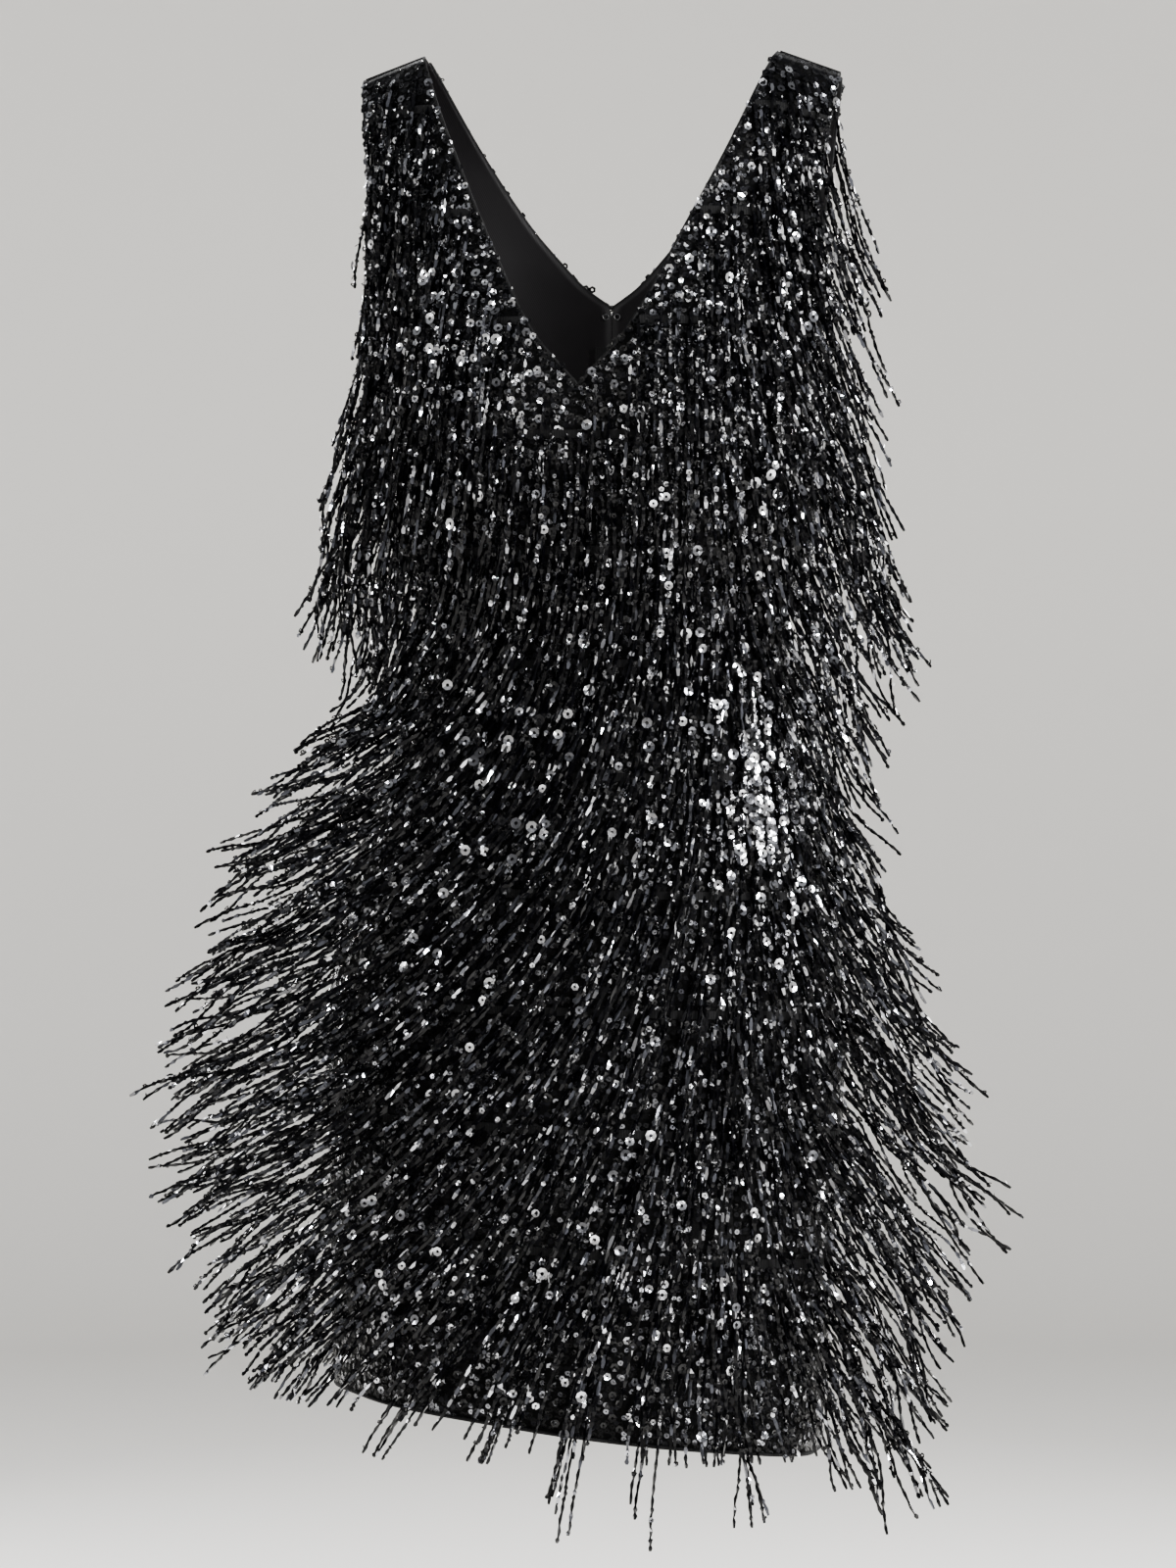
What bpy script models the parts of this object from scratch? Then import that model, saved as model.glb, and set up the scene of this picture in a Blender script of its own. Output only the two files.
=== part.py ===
"""Sequin fringe mini dress, hollow and filled out as it hangs on a wearer, with nobody in it.

The dress has a V neck in front and at the back, open armholes and a fitted, straight skirt.
It is cut as one front and two back panels, with a short zip down the centre back and a plain
back lining that shows through the front V. Rows of beaded fringe are sewn across the panels.
Each row is one narrow header tape with its strands.

World frame: +X to the right of someone looking at the front, +Y to the back, +Z up. The
origin lies between the two shoulder seams, at the height of their neck ends, where the
wearer's shoulders hold the dress. Lengths below are in millimetres.
"""

import math

import bmesh
import bpy
import numpy as np

MM = 0.001

# Cloth and seams
WALL = 1.6
PANEL_COLUMNS = 7
SEAM_GAP = 0.3
LINING_WALL = 1.0
LINING_DROP = 300.0

# Levels, as a drop below the neck end of the shoulder seam
FRONT_V_DROP = 218.0
BACK_V_DROP = 151.0
UNDERARM_DROP = 213.0
WAIST_DROP = 372.0
HEM_DROP = 862.0
SHOULDER_SLOPE = 14.0
SHOULDER_SLOPE_END = 120.0
SHOULDER_ARCH = 70.0
NECK_HALF_WIDTH = 113.0
SHOULDER_HALF_WIDTH = 151.0
HEM_TILT = 21.0

# Bust cups shaped by the darts
CUP_HEIGHT = 17.0
CUP_SIDE = 74.0
CUP_DROP = 252.0
CUP_WIDTH = 46.0
CUP_LENGTH = 58.0

# The figure that fills the dress: the half width at the sides, the depth in front of and
# behind the side seams, and the sideways shift and turn of its stance at each drop.
# Columns: drop, half width, front, back, shift, turn in degrees
FORM = (
    (0.0, 172.0, 62.0, 66.0, 0.0, 6.0),
    (60.0, 168.0, 70.0, 76.0, -1.0, 6.0),
    (120.0, 160.0, 86.0, 90.0, -3.0, 6.0),
    (213.0, 146.0, 106.0, 103.0, -4.0, 6.0),
    (260.0, 144.0, 106.0, 103.0, -3.0, 5.0),
    (310.0, 130.0, 98.0, 94.0, -1.0, 4.0),
    (WAIST_DROP, 115.0, 89.0, 85.0, 1.0, 3.0),
    (450.0, 131.0, 94.0, 99.0, -3.0, 2.0),
    (530.0, 153.0, 103.0, 117.0, -7.0, 0.0),
    (613.0, 163.0, 108.0, 122.0, -9.0, -1.0),
    (700.0, 161.0, 110.0, 117.0, -11.0, -1.0),
    (862.0, 155.0, 108.0, 110.0, -14.0, 0.0),
)

# Soft folds that run down the skirt: each is a trough, deepest at the hem.
# Columns: angle, depth at the hem, width in degrees, drop where it starts
FOLDS = (
    (-128.0, 4.5, 15.0, 560.0),
    (-68.0, 5.0, 14.0, 500.0),
    (-22.0, 3.5, 13.0, 600.0),
    (38.0, 4.0, 16.0, 540.0),
    (82.0, 5.0, 14.0, 620.0),
    (142.0, 4.0, 15.0, 520.0),
)

# Cut edges above the underarm, as distances from the panel's centre line
NECK_FRONT = ((0.0, 113.0), (55.0, 91.0), (123.0, 60.0), (184.0, 29.0), (218.0, 0.0))
NECK_BACK = ((0.0, 113.0), (50.0, 86.0), (99.0, 53.0), (120.0, 35.0), (138.0, 18.0), (151.0, 0.0))
ARMHOLE = ((0.0, 151.0), (60.0, 144.0), (120.0, 139.5), (170.0, 140.0), (200.0, 144.0), (213.0, 146.0))

# Fringe: how far a strand swings from straight down, in degrees, plus to the right, at
# places across the figure given as multiples of its half width from its centre.
SWING_PLACES = (-2.0, -1.0, -0.5, 0.0, 0.5, 1.0, 2.0)
SWING = (
    (0.0, (-4.0, -2.0, -8.0, 0.0, 2.0, 12.0, 22.0)),
    (100.0, (-8.0, -5.0, -8.0, -2.0, 1.0, 16.0, 26.0)),
    (155.0, (-18.0, -10.0, -8.0, -3.0, 1.0, 18.0, 28.0)),
    (250.0, (-18.0, -12.0, -6.0, -2.0, 1.0, 17.0, 24.0)),
    (340.0, (-10.0, -9.0, -10.0, -5.0, -1.0, 16.0, 22.0)),
    (385.0, (-30.0, -36.0, -24.0, -12.0, -3.0, 16.0, 26.0)),
    (430.0, (-66.0, -54.0, -33.0, -20.0, -6.0, 18.0, 34.0)),
    (505.0, (-68.0, -58.0, -42.0, -28.0, -8.0, 24.0, 48.0)),
    (600.0, (-68.0, -58.0, -45.0, -30.0, -6.0, 30.0, 56.0)),
    (695.0, (-72.0, -60.0, -42.0, -26.0, -5.0, 32.0, 54.0)),
    (790.0, (-60.0, -50.0, -38.0, -22.0, -4.0, 28.0, 40.0)),
    (886.0, (-42.0, -36.0, -28.0, -8.0, 0.0, 20.0, 32.0)),
)

# The fringe rows. Columns: drop of the header tape, strands on a front strip, strands on a
# back strip, and the strand length at the left side, at the centre and at the right side
STRAP_ROWS = (
    (40.0, 3, 3, 130.0, 140.0, 140.0),
    (108.0, 4, 4, 132.0, 145.0, 142.0),
    (178.0, 4, 4, 134.0, 145.0, 150.0),
)
BODY_ROWS = (
    (248.0, 11, 5, 134.0, 148.0, 150.0),
    (318.0, 10, 4, 112.0, 152.0, 132.0),
    (388.0, 11, 5, 118.0, 155.0, 150.0),
    (458.0, 10, 4, 132.0, 155.0, 150.0),
    (530.0, 11, 5, 138.0, 155.0, 152.0),
    (602.0, 10, 4, 142.0, 155.0, 156.0),
    (675.0, 11, 5, 136.0, 155.0, 142.0),
    (750.0, 12, 6, 92.0, 156.0, 132.0),
)
# Extra rows of the panels between the tapes, where the cloth curves most
CURVE_DROPS = (70.0, 280.0, 350.0, 422.0, 494.0, 566.0, 640.0, 806.0)
TAPE_HEIGHT = 5.0
TAPE_WALL = 1.2
TAPE_MARGIN = 4.0
STRAND_WIDTH = 2.6
STRAND_DEPTH = 1.0
STRAND_TIP = 0.6
STRAND_SECTIONS = (0.0, 0.12, 0.36, 0.66, 1.0)
STAND_OFF = 2.6
STAND_OFF_RATE = 0.036
MARCH_STEP = 5.0
HUG = 0.6
HUG_GAP = 12.0
HUG_EDGE = 1.05
HUG_FADE = 0.3
SEED = 1
LENGTH_SPREAD = 0.08
SWING_SPREAD = 4.0
FAN_LEAST = 0.10
FAN_SWING = 0.95
FAN_SPREAD = 0.12
FAN_SIDE_SHARE = 0.45
LOOK_OUT = 1.3
LOOK_DOWN = 60.0

# Centre-back zip
ZIP_LENGTH = 300.0
ZIP_TAPE_WIDTH = 22.0
ZIP_TAPE_WALL = 0.6
ZIP_EASE = 1.0
PULL_TOP = 4.0
PULL_LENGTH = 16.0
PULL_HALF_WIDTHS = (1.2, 1.6, 2.4, 1.4)
PULL_WALL = 1.4


def smooth_column(rows, column):
    """A function of the drop: a cubic through one column of a table, flat at its own peaks."""
    place = np.array([row[0] for row in rows])
    value = np.array([row[column] for row in rows])
    step = np.diff(place)
    rate = np.diff(value) / step
    slope = np.concatenate([[rate[0]], np.zeros(len(rate) - 1), [rate[-1]]])
    same_way = rate[:-1] * rate[1:] > 0
    mean = 2 * rate[:-1] * rate[1:] / np.where(same_way, rate[:-1] + rate[1:], 1.0)
    slope[1:-1] = np.where(same_way, mean, 0.0)

    def at(drop):
        drop = np.clip(drop, place[0], place[-1])
        i = np.clip(np.searchsorted(place, drop) - 1, 0, len(step) - 1)
        t = (drop - place[i]) / step[i]
        start, end = value[i], value[i + 1]
        lift = step[i] * (t * (1 - t) ** 2 * slope[i] - t**2 * (1 - t) * slope[i + 1])
        return start + (end - start) * t * t * (3 - 2 * t) + lift

    return at


HALF_WIDTH, FRONT_DEPTH, BACK_DEPTH, SHIFT, TURN = (
    smooth_column(FORM, column) for column in range(1, len(FORM[0]))
)
NECK_FRONT_AT = smooth_column(NECK_FRONT, 1)
NECK_BACK_AT = smooth_column(NECK_BACK, 1)
ARMHOLE_AT = smooth_column(ARMHOLE, 1)


def arch(drop):
    """The share of its depth that the figure has near the top, so that straps round over it."""
    t = 1 - np.clip(drop / SHOULDER_ARCH, 0, 1)
    return np.sqrt(np.clip(1 - t * t, 0, 1))


def stance(x, y, drop):
    """A point of the upright figure moved to where it stands: turned, shifted, hem tilted."""
    turn = np.radians(TURN(drop))
    share = np.clip((drop - WAIST_DROP) / (HEM_DROP - WAIST_DROP), 0, 1)
    slope = SHOULDER_SLOPE * np.clip(1 - drop / SHOULDER_SLOPE_END, 0, 1)
    across = np.clip((np.abs(x) - NECK_HALF_WIDTH) / (SHOULDER_HALF_WIDTH - NECK_HALF_WIDTH), 0, 1)
    z = -drop - slope * across - HEM_TILT * share**2 * x / HALF_WIDTH(drop)
    turned_x = x * np.cos(turn) + y * np.sin(turn)
    turned_y = y * np.cos(turn) - x * np.sin(turn)
    return np.stack([turned_x + SHIFT(drop), turned_y, z], -1)


def fold_depth(angle_deg, drop):
    """How far the skirt's folds sink the cloth at this angle and drop."""
    depth = 0.0
    for fold_angle, fold, width, start in FOLDS:
        share = np.clip((drop - start) / (HEM_DROP - start), 0, 1)
        depth = depth + fold * share * np.exp(-(((angle_deg - fold_angle) / width) ** 2))
    return depth


def cups(x, drop):
    """How far the two bust cups stand out in front at this place across the figure and drop."""
    over = (drop - CUP_DROP) / CUP_LENGTH
    left, right = (x + CUP_SIDE) / CUP_WIDTH, (x - CUP_SIDE) / CUP_WIDTH
    return CUP_HEIGHT * (np.exp(-(left**2) - over**2) + np.exp(-(right**2) - over**2))


def figure(angle_deg, drop):
    """The inner face of the cloth. Angle 0 is the front centre, 90 the right side, 180 the back."""
    angle_deg = (np.asarray(angle_deg) + 180.0) % 360.0 - 180.0
    angle = np.radians(angle_deg)
    forward = np.cos(angle)
    depth = np.where(forward > 0, FRONT_DEPTH(drop), BACK_DEPTH(drop)) * arch(drop)
    x = HALF_WIDTH(drop) * np.sin(angle)
    y = -depth * forward - np.where(forward > 0, cups(x, drop) * forward, 0)
    inward = fold_depth(angle_deg, drop)
    x = x - inward * np.sin(angle)
    y = y + inward * forward
    y = y - np.where(forward > 0, SEAM_GAP / 2, -SEAM_GAP / 2)
    return stance(x, y, drop)


def angle_of(distance, drop):
    """The angle round the figure at which it is this far from its centre line."""
    return np.degrees(np.arcsin(np.clip(distance / HALF_WIDTH(drop), 0, 1)))


def outer_angle(drop):
    """The angle of the armhole edge, or of the side seam below the underarm."""
    return np.where(drop < UNDERARM_DROP, angle_of(ARMHOLE_AT(drop), drop), 90.0)


def inner_angle(drop, neck, v_drop):
    """The angle of the neck edge, or 0 below the point of the V."""
    return np.where(drop < v_drop, angle_of(neck(drop), drop), 0.0)


def normals_of(angle_deg, drop):
    """Unit normals of the figure, pointing out of it, from small steps along and round it."""
    side_step, drop_step = 0.4, 1.0
    lower = np.maximum(drop, 4.0)
    round_it = figure(angle_deg + side_step, lower) - figure(angle_deg - side_step, lower)
    down_it = figure(angle_deg, lower + drop_step) - figure(angle_deg, lower - drop_step)
    normal = np.cross(down_it, round_it)
    return normal / np.linalg.norm(normal, axis=-1, keepdims=True)


def off_figure(angle_deg, drop, outward):
    """Points this far outside the inner face of the cloth, or inside it if negative."""
    return figure(angle_deg, drop) + normals_of(angle_deg, drop) * outward


def column_angles(drop, neck, v_drop):
    """The angles of a half panel's columns at each drop, from the neck or centre to the side."""
    drop = np.asarray(drop, dtype=float)[..., None]
    share = np.linspace(0, 1, PANEL_COLUMNS)
    inner, outer = inner_angle(drop, neck, v_drop), outer_angle(drop)
    return inner + (outer - inner) * share


def colour_material(name, colour, roughness, metallic=0.0):
    """A Principled material of one colour."""
    material = bpy.data.materials.new(name)
    material.use_nodes = True
    shader = material.node_tree.nodes["Principled BSDF"]
    shader.inputs["Base Color"].default_value = (*colour, 1.0)
    shader.inputs["Roughness"].default_value = roughness
    shader.inputs["Metallic"].default_value = metallic
    material.diffuse_color = (*colour, 1.0)
    return material


def add_mesh(name, bm, collection, material):
    """Makes the bmesh a named object of the collection, in one material."""
    mesh = bpy.data.meshes.new(name)
    bm.to_mesh(mesh)
    bm.free()
    mesh.materials.append(material)
    obj = bpy.data.objects.new(name, mesh)
    collection.objects.link(obj)
    return obj


def grid_faces(bm, points):
    """Adds a quad for each cell of a grid, in millimetres: rows go down, columns go round."""
    rows, columns = points.shape[:2]
    verts = [bm.verts.new(point * MM) for point in points.reshape(-1, 3)]
    for row in range(rows - 1):
        for column in range(columns - 1):
            corner = row * columns + column
            bm.faces.new([verts[i] for i in (corner, corner + columns, corner + columns + 1, corner + 1)])


def half_panel(side, drops, neck, v_drop, back, inset):
    """Half of a front or back panel as a grid: each row runs from neck or centre to the side."""
    drop = np.repeat(np.asarray(drops)[:, None], PANEL_COLUMNS, axis=1)
    angle = column_angles(drops, neck, v_drop)
    angle = side * (180.0 - angle if back else angle)
    points = off_figure(angle, drop, -inset)
    return points if (side > 0) != back else points[:, ::-1]


def panel_drops(last=HEM_DROP, top_steps=4):
    """The rows of a panel: over the shoulder, at each fringe tape's two edges, and between."""
    over = [SHOULDER_ARCH * (1 - math.cos(math.radians(90 * k / top_steps))) for k in range(top_steps)]
    tapes = [row[0] + side * 0.5 * TAPE_HEIGHT for row in (*STRAP_ROWS, *BODY_ROWS) for side in (-1, 1)]
    drops = sorted({*over, *CURVE_DROPS, *tapes, BACK_V_DROP, UNDERARM_DROP, FRONT_V_DROP, last})
    return [drop for drop in drops if drop <= last]


def shell(obj, wall):
    """Gives an open cloth surface its wall, outwards from the figure."""
    solidify = obj.modifiers.new("wall", "SOLIDIFY")
    solidify.thickness = wall * MM
    solidify.offset = 1.0
    solidify.use_rim = True


def front_panel(collection, material):
    """The front, cut in one piece with its two straps and the V between them."""
    bm = bmesh.new()
    drops = panel_drops()
    for side in (-1, 1):
        grid_faces(bm, half_panel(side, drops, NECK_FRONT_AT, FRONT_V_DROP, False, 0.0))
    bmesh.ops.remove_doubles(bm, verts=bm.verts, dist=0.01 * MM)
    shell(add_mesh("front_panel", bm, collection, material), WALL)


def back_panel(name, side, collection, material, wall, inset, last):
    """One half of the back or of its lining, kept half a seam gap from the centre-back line."""
    bm = bmesh.new()
    points = half_panel(side, panel_drops(last), NECK_BACK_AT, BACK_V_DROP, True, inset)
    points[..., 0] += side * SEAM_GAP / 2
    grid_faces(bm, points)
    shell(add_mesh(name, bm, collection, material), wall)


def swing_at(place, drop):
    """The swing angle in radians, from the table, at a place across the figure and a drop."""
    levels = np.array([row[0] for row in SWING])
    table = np.array([row[1] for row in SWING])
    drop = np.clip(drop, levels[0], levels[-1])
    i = np.clip(np.searchsorted(levels, drop) - 1, 0, len(levels) - 2)
    t = (drop - levels[i]) / (levels[i + 1] - levels[i])
    t = t * t * (3 - 2 * t)
    places = np.array(SWING_PLACES)
    place = np.clip(place, places[0], places[-1])
    j = np.clip(np.searchsorted(places, place) - 1, 0, len(places) - 2)
    u = (place - places[j]) / (places[j + 1] - places[j])
    upper = table[i, j] * (1 - u) + table[i, j + 1] * u
    lower = table[i + 1, j] * (1 - u) + table[i + 1, j + 1] * u
    return np.radians(upper * (1 - t) + lower * t)


def clear_of_figure(point, clearance):
    """Moves points that lie nearer the figure than the clearance straight out to it.

    Gives the points and how far in front of or behind the figure each one hangs.
    """
    drop = np.clip(-point[:, 2], 1.0, HEM_DROP)
    turn = np.radians(TURN(drop))
    x = point[:, 0] - SHIFT(drop)
    y = point[:, 1]
    own_x = x * np.cos(turn) - y * np.sin(turn)
    own_y = y * np.cos(turn) + x * np.sin(turn)
    depth = np.where(own_y < 0, FRONT_DEPTH(drop), BACK_DEPTH(drop)) * arch(drop)
    half = HALF_WIDTH(drop) + clearance
    place = own_x / half
    forward = np.sqrt(np.clip(1 - place * place, 0, 1))
    depth = depth + clearance + np.where(own_y < 0, cups(own_x, drop) * forward, 0)
    level = np.hypot(place, own_y / depth)
    grow = np.where(level < 1, 1 / np.maximum(level, 0.2), 1.0)
    own_x, own_y = own_x * grow, own_y * grow
    gap = np.abs(own_y) - depth * np.sqrt(np.clip(1 - (own_x / half) ** 2, 0, 1))
    moved = point.copy()
    moved[:, 0] = own_x * np.cos(turn) + own_y * np.sin(turn) + SHIFT(drop)
    moved[:, 1] = own_y * np.cos(turn) - own_x * np.sin(turn)
    return moved, gap


def march(root, length, swing_more, fan):
    """Strand paths: each runs from its root down the swing field, kept clear of the figure.

    root is (strands, 3). The result is (steps, strands, 3), one point each MARCH_STEP.
    """
    steps = int(round(length.max() / MARCH_STEP))
    path = [root]
    pace = (length / steps)[:, None]
    gap = np.zeros(len(root))
    for step in range(1, steps + 1):
        point = path[-1]
        drop = -point[:, 2]
        level = np.clip(drop, 0, HEM_DROP)
        place = (point[:, 0] - SHIFT(level)) / HALF_WIDTH(level)
        swing = swing_at(place, drop) + swing_more * step / steps
        near = np.clip(gap / HUG_GAP, 0, 1) * np.clip((HUG_EDGE - np.abs(place)) / HUG_FADE, 0, 1)
        toward = -np.sign(point[:, 1]) * HUG * near
        way = np.stack([np.sin(swing), fan * step / steps + toward, -np.cos(swing)], -1)
        way /= np.linalg.norm(way, axis=1, keepdims=True)
        along = step / steps * length
        moved, gap = clear_of_figure(point + way * pace, WALL + STAND_OFF + STAND_OFF_RATE * along)
        stride = moved - point
        path.append(point + stride * pace / np.linalg.norm(stride, axis=1, keepdims=True))
    return np.stack(path)


def fan_of(angle_deg, drop, x, spread):
    """How strongly strands fly away from the front or the back, growing with their swing."""
    facing = -np.cos(np.radians(angle_deg))
    level = np.full(len(x), drop)
    swing = swing_at(LOOK_OUT * (x - SHIFT(level)) / HALF_WIDTH(level), level + LOOK_DOWN)
    outward = np.sign(facing) * (FAN_SIDE_SHARE + (1 - FAN_SIDE_SHARE) * np.abs(facing))
    return outward * (FAN_LEAST + FAN_SWING * np.sin(np.abs(swing)) ** 2) + FAN_SPREAD * spread


def length_at(angle_deg, left, centre, right):
    """A strand's length: the row's length at the centre, and near a side that side's own."""
    across = np.sin(np.radians(angle_deg))
    side = np.where(across < 0, left, right)
    return centre + (side - centre) * np.abs(across) ** 3


def strip_stations(first, last, drop, count, creases):
    """Angles along a tape: a narrow cell for each strand, and between them the panel's creases.

    Gives the angles, and for each strand the number of the cell that it grows from.
    """
    run = math.radians(last - first) * float(HALF_WIDTH(drop))
    half_cell = 0.5 * STRAND_WIDTH / run * (last - first)
    centres = first + (last - first) * (np.arange(count) + 0.5) / count
    edges = np.stack([centres - half_cell, centres + half_cell], 1).reshape(-1)
    away = np.abs(creases[:, None] - centres[None, :]).min(axis=1) > 2 * half_cell
    inside = (creases > first + half_cell) & (creases < last - half_cell)
    angles = np.sort(np.concatenate([[first], edges, creases[away & inside], [last]]))
    return angles, np.searchsorted(angles, centres) - 1


def fringe_strip(name, first, last, drop, count, lengths, creases, seed, collection, material):
    """A header tape from angle first to angle last, with its strands drawn out of its lower face.

    The tape is a closed band of four faces round. Each narrow cell's lower face is the root of
    a strand, which is four-sided and tapers to its tip, so tape and strands are one body.
    """
    rng = np.random.default_rng((SEED, seed))
    angles, cells = strip_stations(first, last, drop, count, creases)
    stations = len(angles)
    bm = bmesh.new()
    rings = []
    for level, outward in ((0, 0), (0, 1), (1, 1), (1, 0)):
        at = np.full(len(creases), drop + (level - 0.5) * TAPE_HEIGHT)
        base = off_figure(creases, at, WALL + SEAM_GAP + outward * TAPE_WALL)
        base = np.stack([np.interp(angles, creases, base[:, axis]) for axis in range(3)], 1)
        rings.append([bm.verts.new(point * MM) for point in base])
    top_in, top_out, low_out, low_in = rings
    for i in range(stations - 1):
        j = i + 1
        bm.faces.new((top_in[i], top_in[j], top_out[j], top_out[i]))
        bm.faces.new((top_out[i], top_out[j], low_out[j], low_out[i]))
        bm.faces.new((low_in[j], low_in[i], top_in[i], top_in[j]))
    for i in (0, stations - 1):
        bm.faces.new((top_in[i], top_out[i], low_out[i], low_in[i]))
    for i in sorted(set(range(stations - 1)) - set(cells.tolist())):
        bm.faces.new((low_out[i], low_out[i + 1], low_in[i + 1], low_in[i]))

    centre_angle = (angles[cells] + angles[cells + 1]) / 2
    root_drop = np.full(count, drop + 0.5 * TAPE_HEIGHT)
    root = off_figure(centre_angle, root_drop, WALL + SEAM_GAP + TAPE_WALL / 2)
    own_length = length_at(centre_angle, *lengths) * (1 + LENGTH_SPREAD * rng.uniform(-1, 1, count))
    swing_more = np.radians(SWING_SPREAD * rng.uniform(-1, 1, count))
    spread = rng.uniform(-1, 1, count)
    fan = fan_of(centre_angle, drop, root[:, 0], spread)
    path = march(root, own_length, swing_more, fan)
    across = figure(centre_angle + 1.0, root_drop) - figure(centre_angle - 1.0, root_drop)
    for strand in range(count):
        cell = cells[strand]
        root_ring = [low_out[cell], low_out[cell + 1], low_in[cell + 1], low_in[cell]]
        draw_strand(bm, root_ring, path[:, strand], across[strand])
    bmesh.ops.recalc_face_normals(bm, faces=bm.faces)
    return add_mesh(name, bm, collection, material)


def draw_strand(bm, root_ring, path, across):
    """Draws one four-sided strand along its path, from the root ring to a small closed tip."""
    picks = (np.array(STRAND_SECTIONS) * (len(path) - 1)).round().astype(int)
    spine = path[picks]
    ring = root_ring
    side = across / np.linalg.norm(across)
    for k in range(1, len(spine)):
        after = spine[min(k + 1, len(spine) - 1)]
        along = after - spine[k - 1]
        along /= np.linalg.norm(along)
        side = side - along * (side @ along)
        side /= np.linalg.norm(side)
        out = np.cross(along, side)
        taper = 1 - (1 - STRAND_TIP) * k / (len(spine) - 1)
        half_side = side * 0.5 * STRAND_WIDTH * taper
        half_out = out * 0.5 * STRAND_DEPTH * taper
        corners = (half_out - half_side, half_out + half_side, half_side - half_out, -half_side - half_out)
        fresh = [bm.verts.new((spine[k] + corner) * MM) for corner in corners]
        for i in range(4):
            j = (i + 1) % 4
            bm.faces.new((ring[i], ring[j], fresh[j], fresh[i]))
        ring = fresh
    bm.faces.new(ring)


def margin_angle(drop):
    """The tape's clear margin at an edge or seam, as an angle round the figure."""
    return math.degrees(TAPE_MARGIN / float(HALF_WIDTH(drop)))


def strap_fringe(collection, material):
    """The three short rows on each strap, in front and behind, above the points of the Vs."""
    for row, (drop, front_count, back_count, *lengths) in enumerate(STRAP_ROWS, 1):
        margin = margin_angle(drop)
        outer = float(outer_angle(np.float64(drop))) - margin
        faces = (
            ("front", front_count, NECK_FRONT_AT, FRONT_V_DROP),
            ("back", back_count, NECK_BACK_AT, BACK_V_DROP),
        )
        for face, count, neck, v_drop in faces:
            inner = float(inner_angle(np.float64(drop), neck, v_drop)) + margin
            for side_name, side in (("left", -1), ("right", 1)):
                first, last = sorted((side * inner, side * outer))
                creases = np.sort(side * column_angles(drop, neck, v_drop))
                if face == "back":
                    first, last = side * 180 - last, side * 180 - first
                    creases = side * 180 - creases[::-1]
                name = f"fringe_{row:02d}_{face}_{side_name}"
                seed = 100 * row + 10 * (face == "back") + (side > 0)
                fringe_strip(name, first, last, drop, count, lengths, creases, seed, collection, material)


def body_fringe(collection, material):
    """The rows round the body: one strip across the front, and one on each half of the back."""
    for row, (drop, front_count, back_count, *lengths) in enumerate(BODY_ROWS, len(STRAP_ROWS) + 1):
        margin = margin_angle(drop)
        half = np.linspace(0, 90, PANEL_COLUMNS)
        strips = (
            ("front", -90 + margin, 90 - margin, front_count, np.concatenate([-half[:0:-1], half])),
            ("back_left", -180 + 1.5 * margin, -90 - margin, back_count, half - 180),
            ("back_right", 90 + margin, 180 - 1.5 * margin, back_count, half + 90),
        )
        for index, (face, first, last, count, creases) in enumerate(strips):
            name = f"fringe_{row:02d}_{face}"
            seed = 100 * row + index
            fringe_strip(name, first, last, drop, count, lengths, creases, seed, collection, material)


def back_zip(collection, tape_material, pull_material):
    """The concealed zip: one tape behind the centre-back seam, and its pull on the outside."""
    drops = np.array([d for d in panel_drops() if BACK_V_DROP < d < BACK_V_DROP + ZIP_LENGTH])
    half_angle = np.degrees(0.5 * ZIP_TAPE_WIDTH / HALF_WIDTH(drops))[:, None]
    angle = 180 + half_angle * np.array([[-1.0, 0.0, 1.0]])
    drop = np.repeat(drops[:, None], 3, axis=1)
    inset = LINING_WALL + 2 * SEAM_GAP + ZIP_TAPE_WALL + ZIP_EASE
    bm = bmesh.new()
    grid_faces(bm, off_figure(angle, drop, -inset))
    shell(add_mesh("zip_tape", bm, collection, tape_material), ZIP_TAPE_WALL)

    drops = BACK_V_DROP + PULL_TOP + PULL_LENGTH * np.linspace(0, 1, len(PULL_HALF_WIDTHS))
    half_angle = np.degrees(np.array(PULL_HALF_WIDTHS) / HALF_WIDTH(drops))[:, None]
    angle = 180 + half_angle * np.array([[-1.0, 1.0]])
    bm = bmesh.new()
    drop = np.repeat(drops[:, None], 2, axis=1)
    grid_faces(bm, off_figure(angle, drop, WALL + SEAM_GAP))
    shell(add_mesh("zip_pull", bm, collection, pull_material), PULL_WALL)


def main():
    for obj in list(bpy.data.objects):
        bpy.data.objects.remove(obj, do_unlink=True)
    collection = bpy.data.collections.new("sequin_fringe_mini_dress")
    bpy.context.scene.collection.children.link(collection)
    sequin_cloth = colour_material("sequin_cloth", (0.012, 0.012, 0.013), 0.35)
    lining_satin = colour_material("lining_satin", (0.010, 0.009, 0.010), 0.6)
    bead_fringe = colour_material("bead_fringe", (0.02, 0.02, 0.022), 0.2)
    zip_metal = colour_material("zip_metal", (0.05, 0.05, 0.055), 0.4, 0.8)

    front_panel(collection, sequin_cloth)
    for side_name, side in (("left", -1), ("right", 1)):
        back_panel(f"back_panel_{side_name}", side, collection, sequin_cloth, WALL, 0.0, HEM_DROP)
        name = f"back_lining_{side_name}"
        back_panel(name, side, collection, lining_satin, LINING_WALL, LINING_WALL + SEAM_GAP, LINING_DROP)
    back_zip(collection, lining_satin, zip_metal)
    strap_fringe(collection, bead_fringe)
    body_fringe(collection, bead_fringe)


main()
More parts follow.
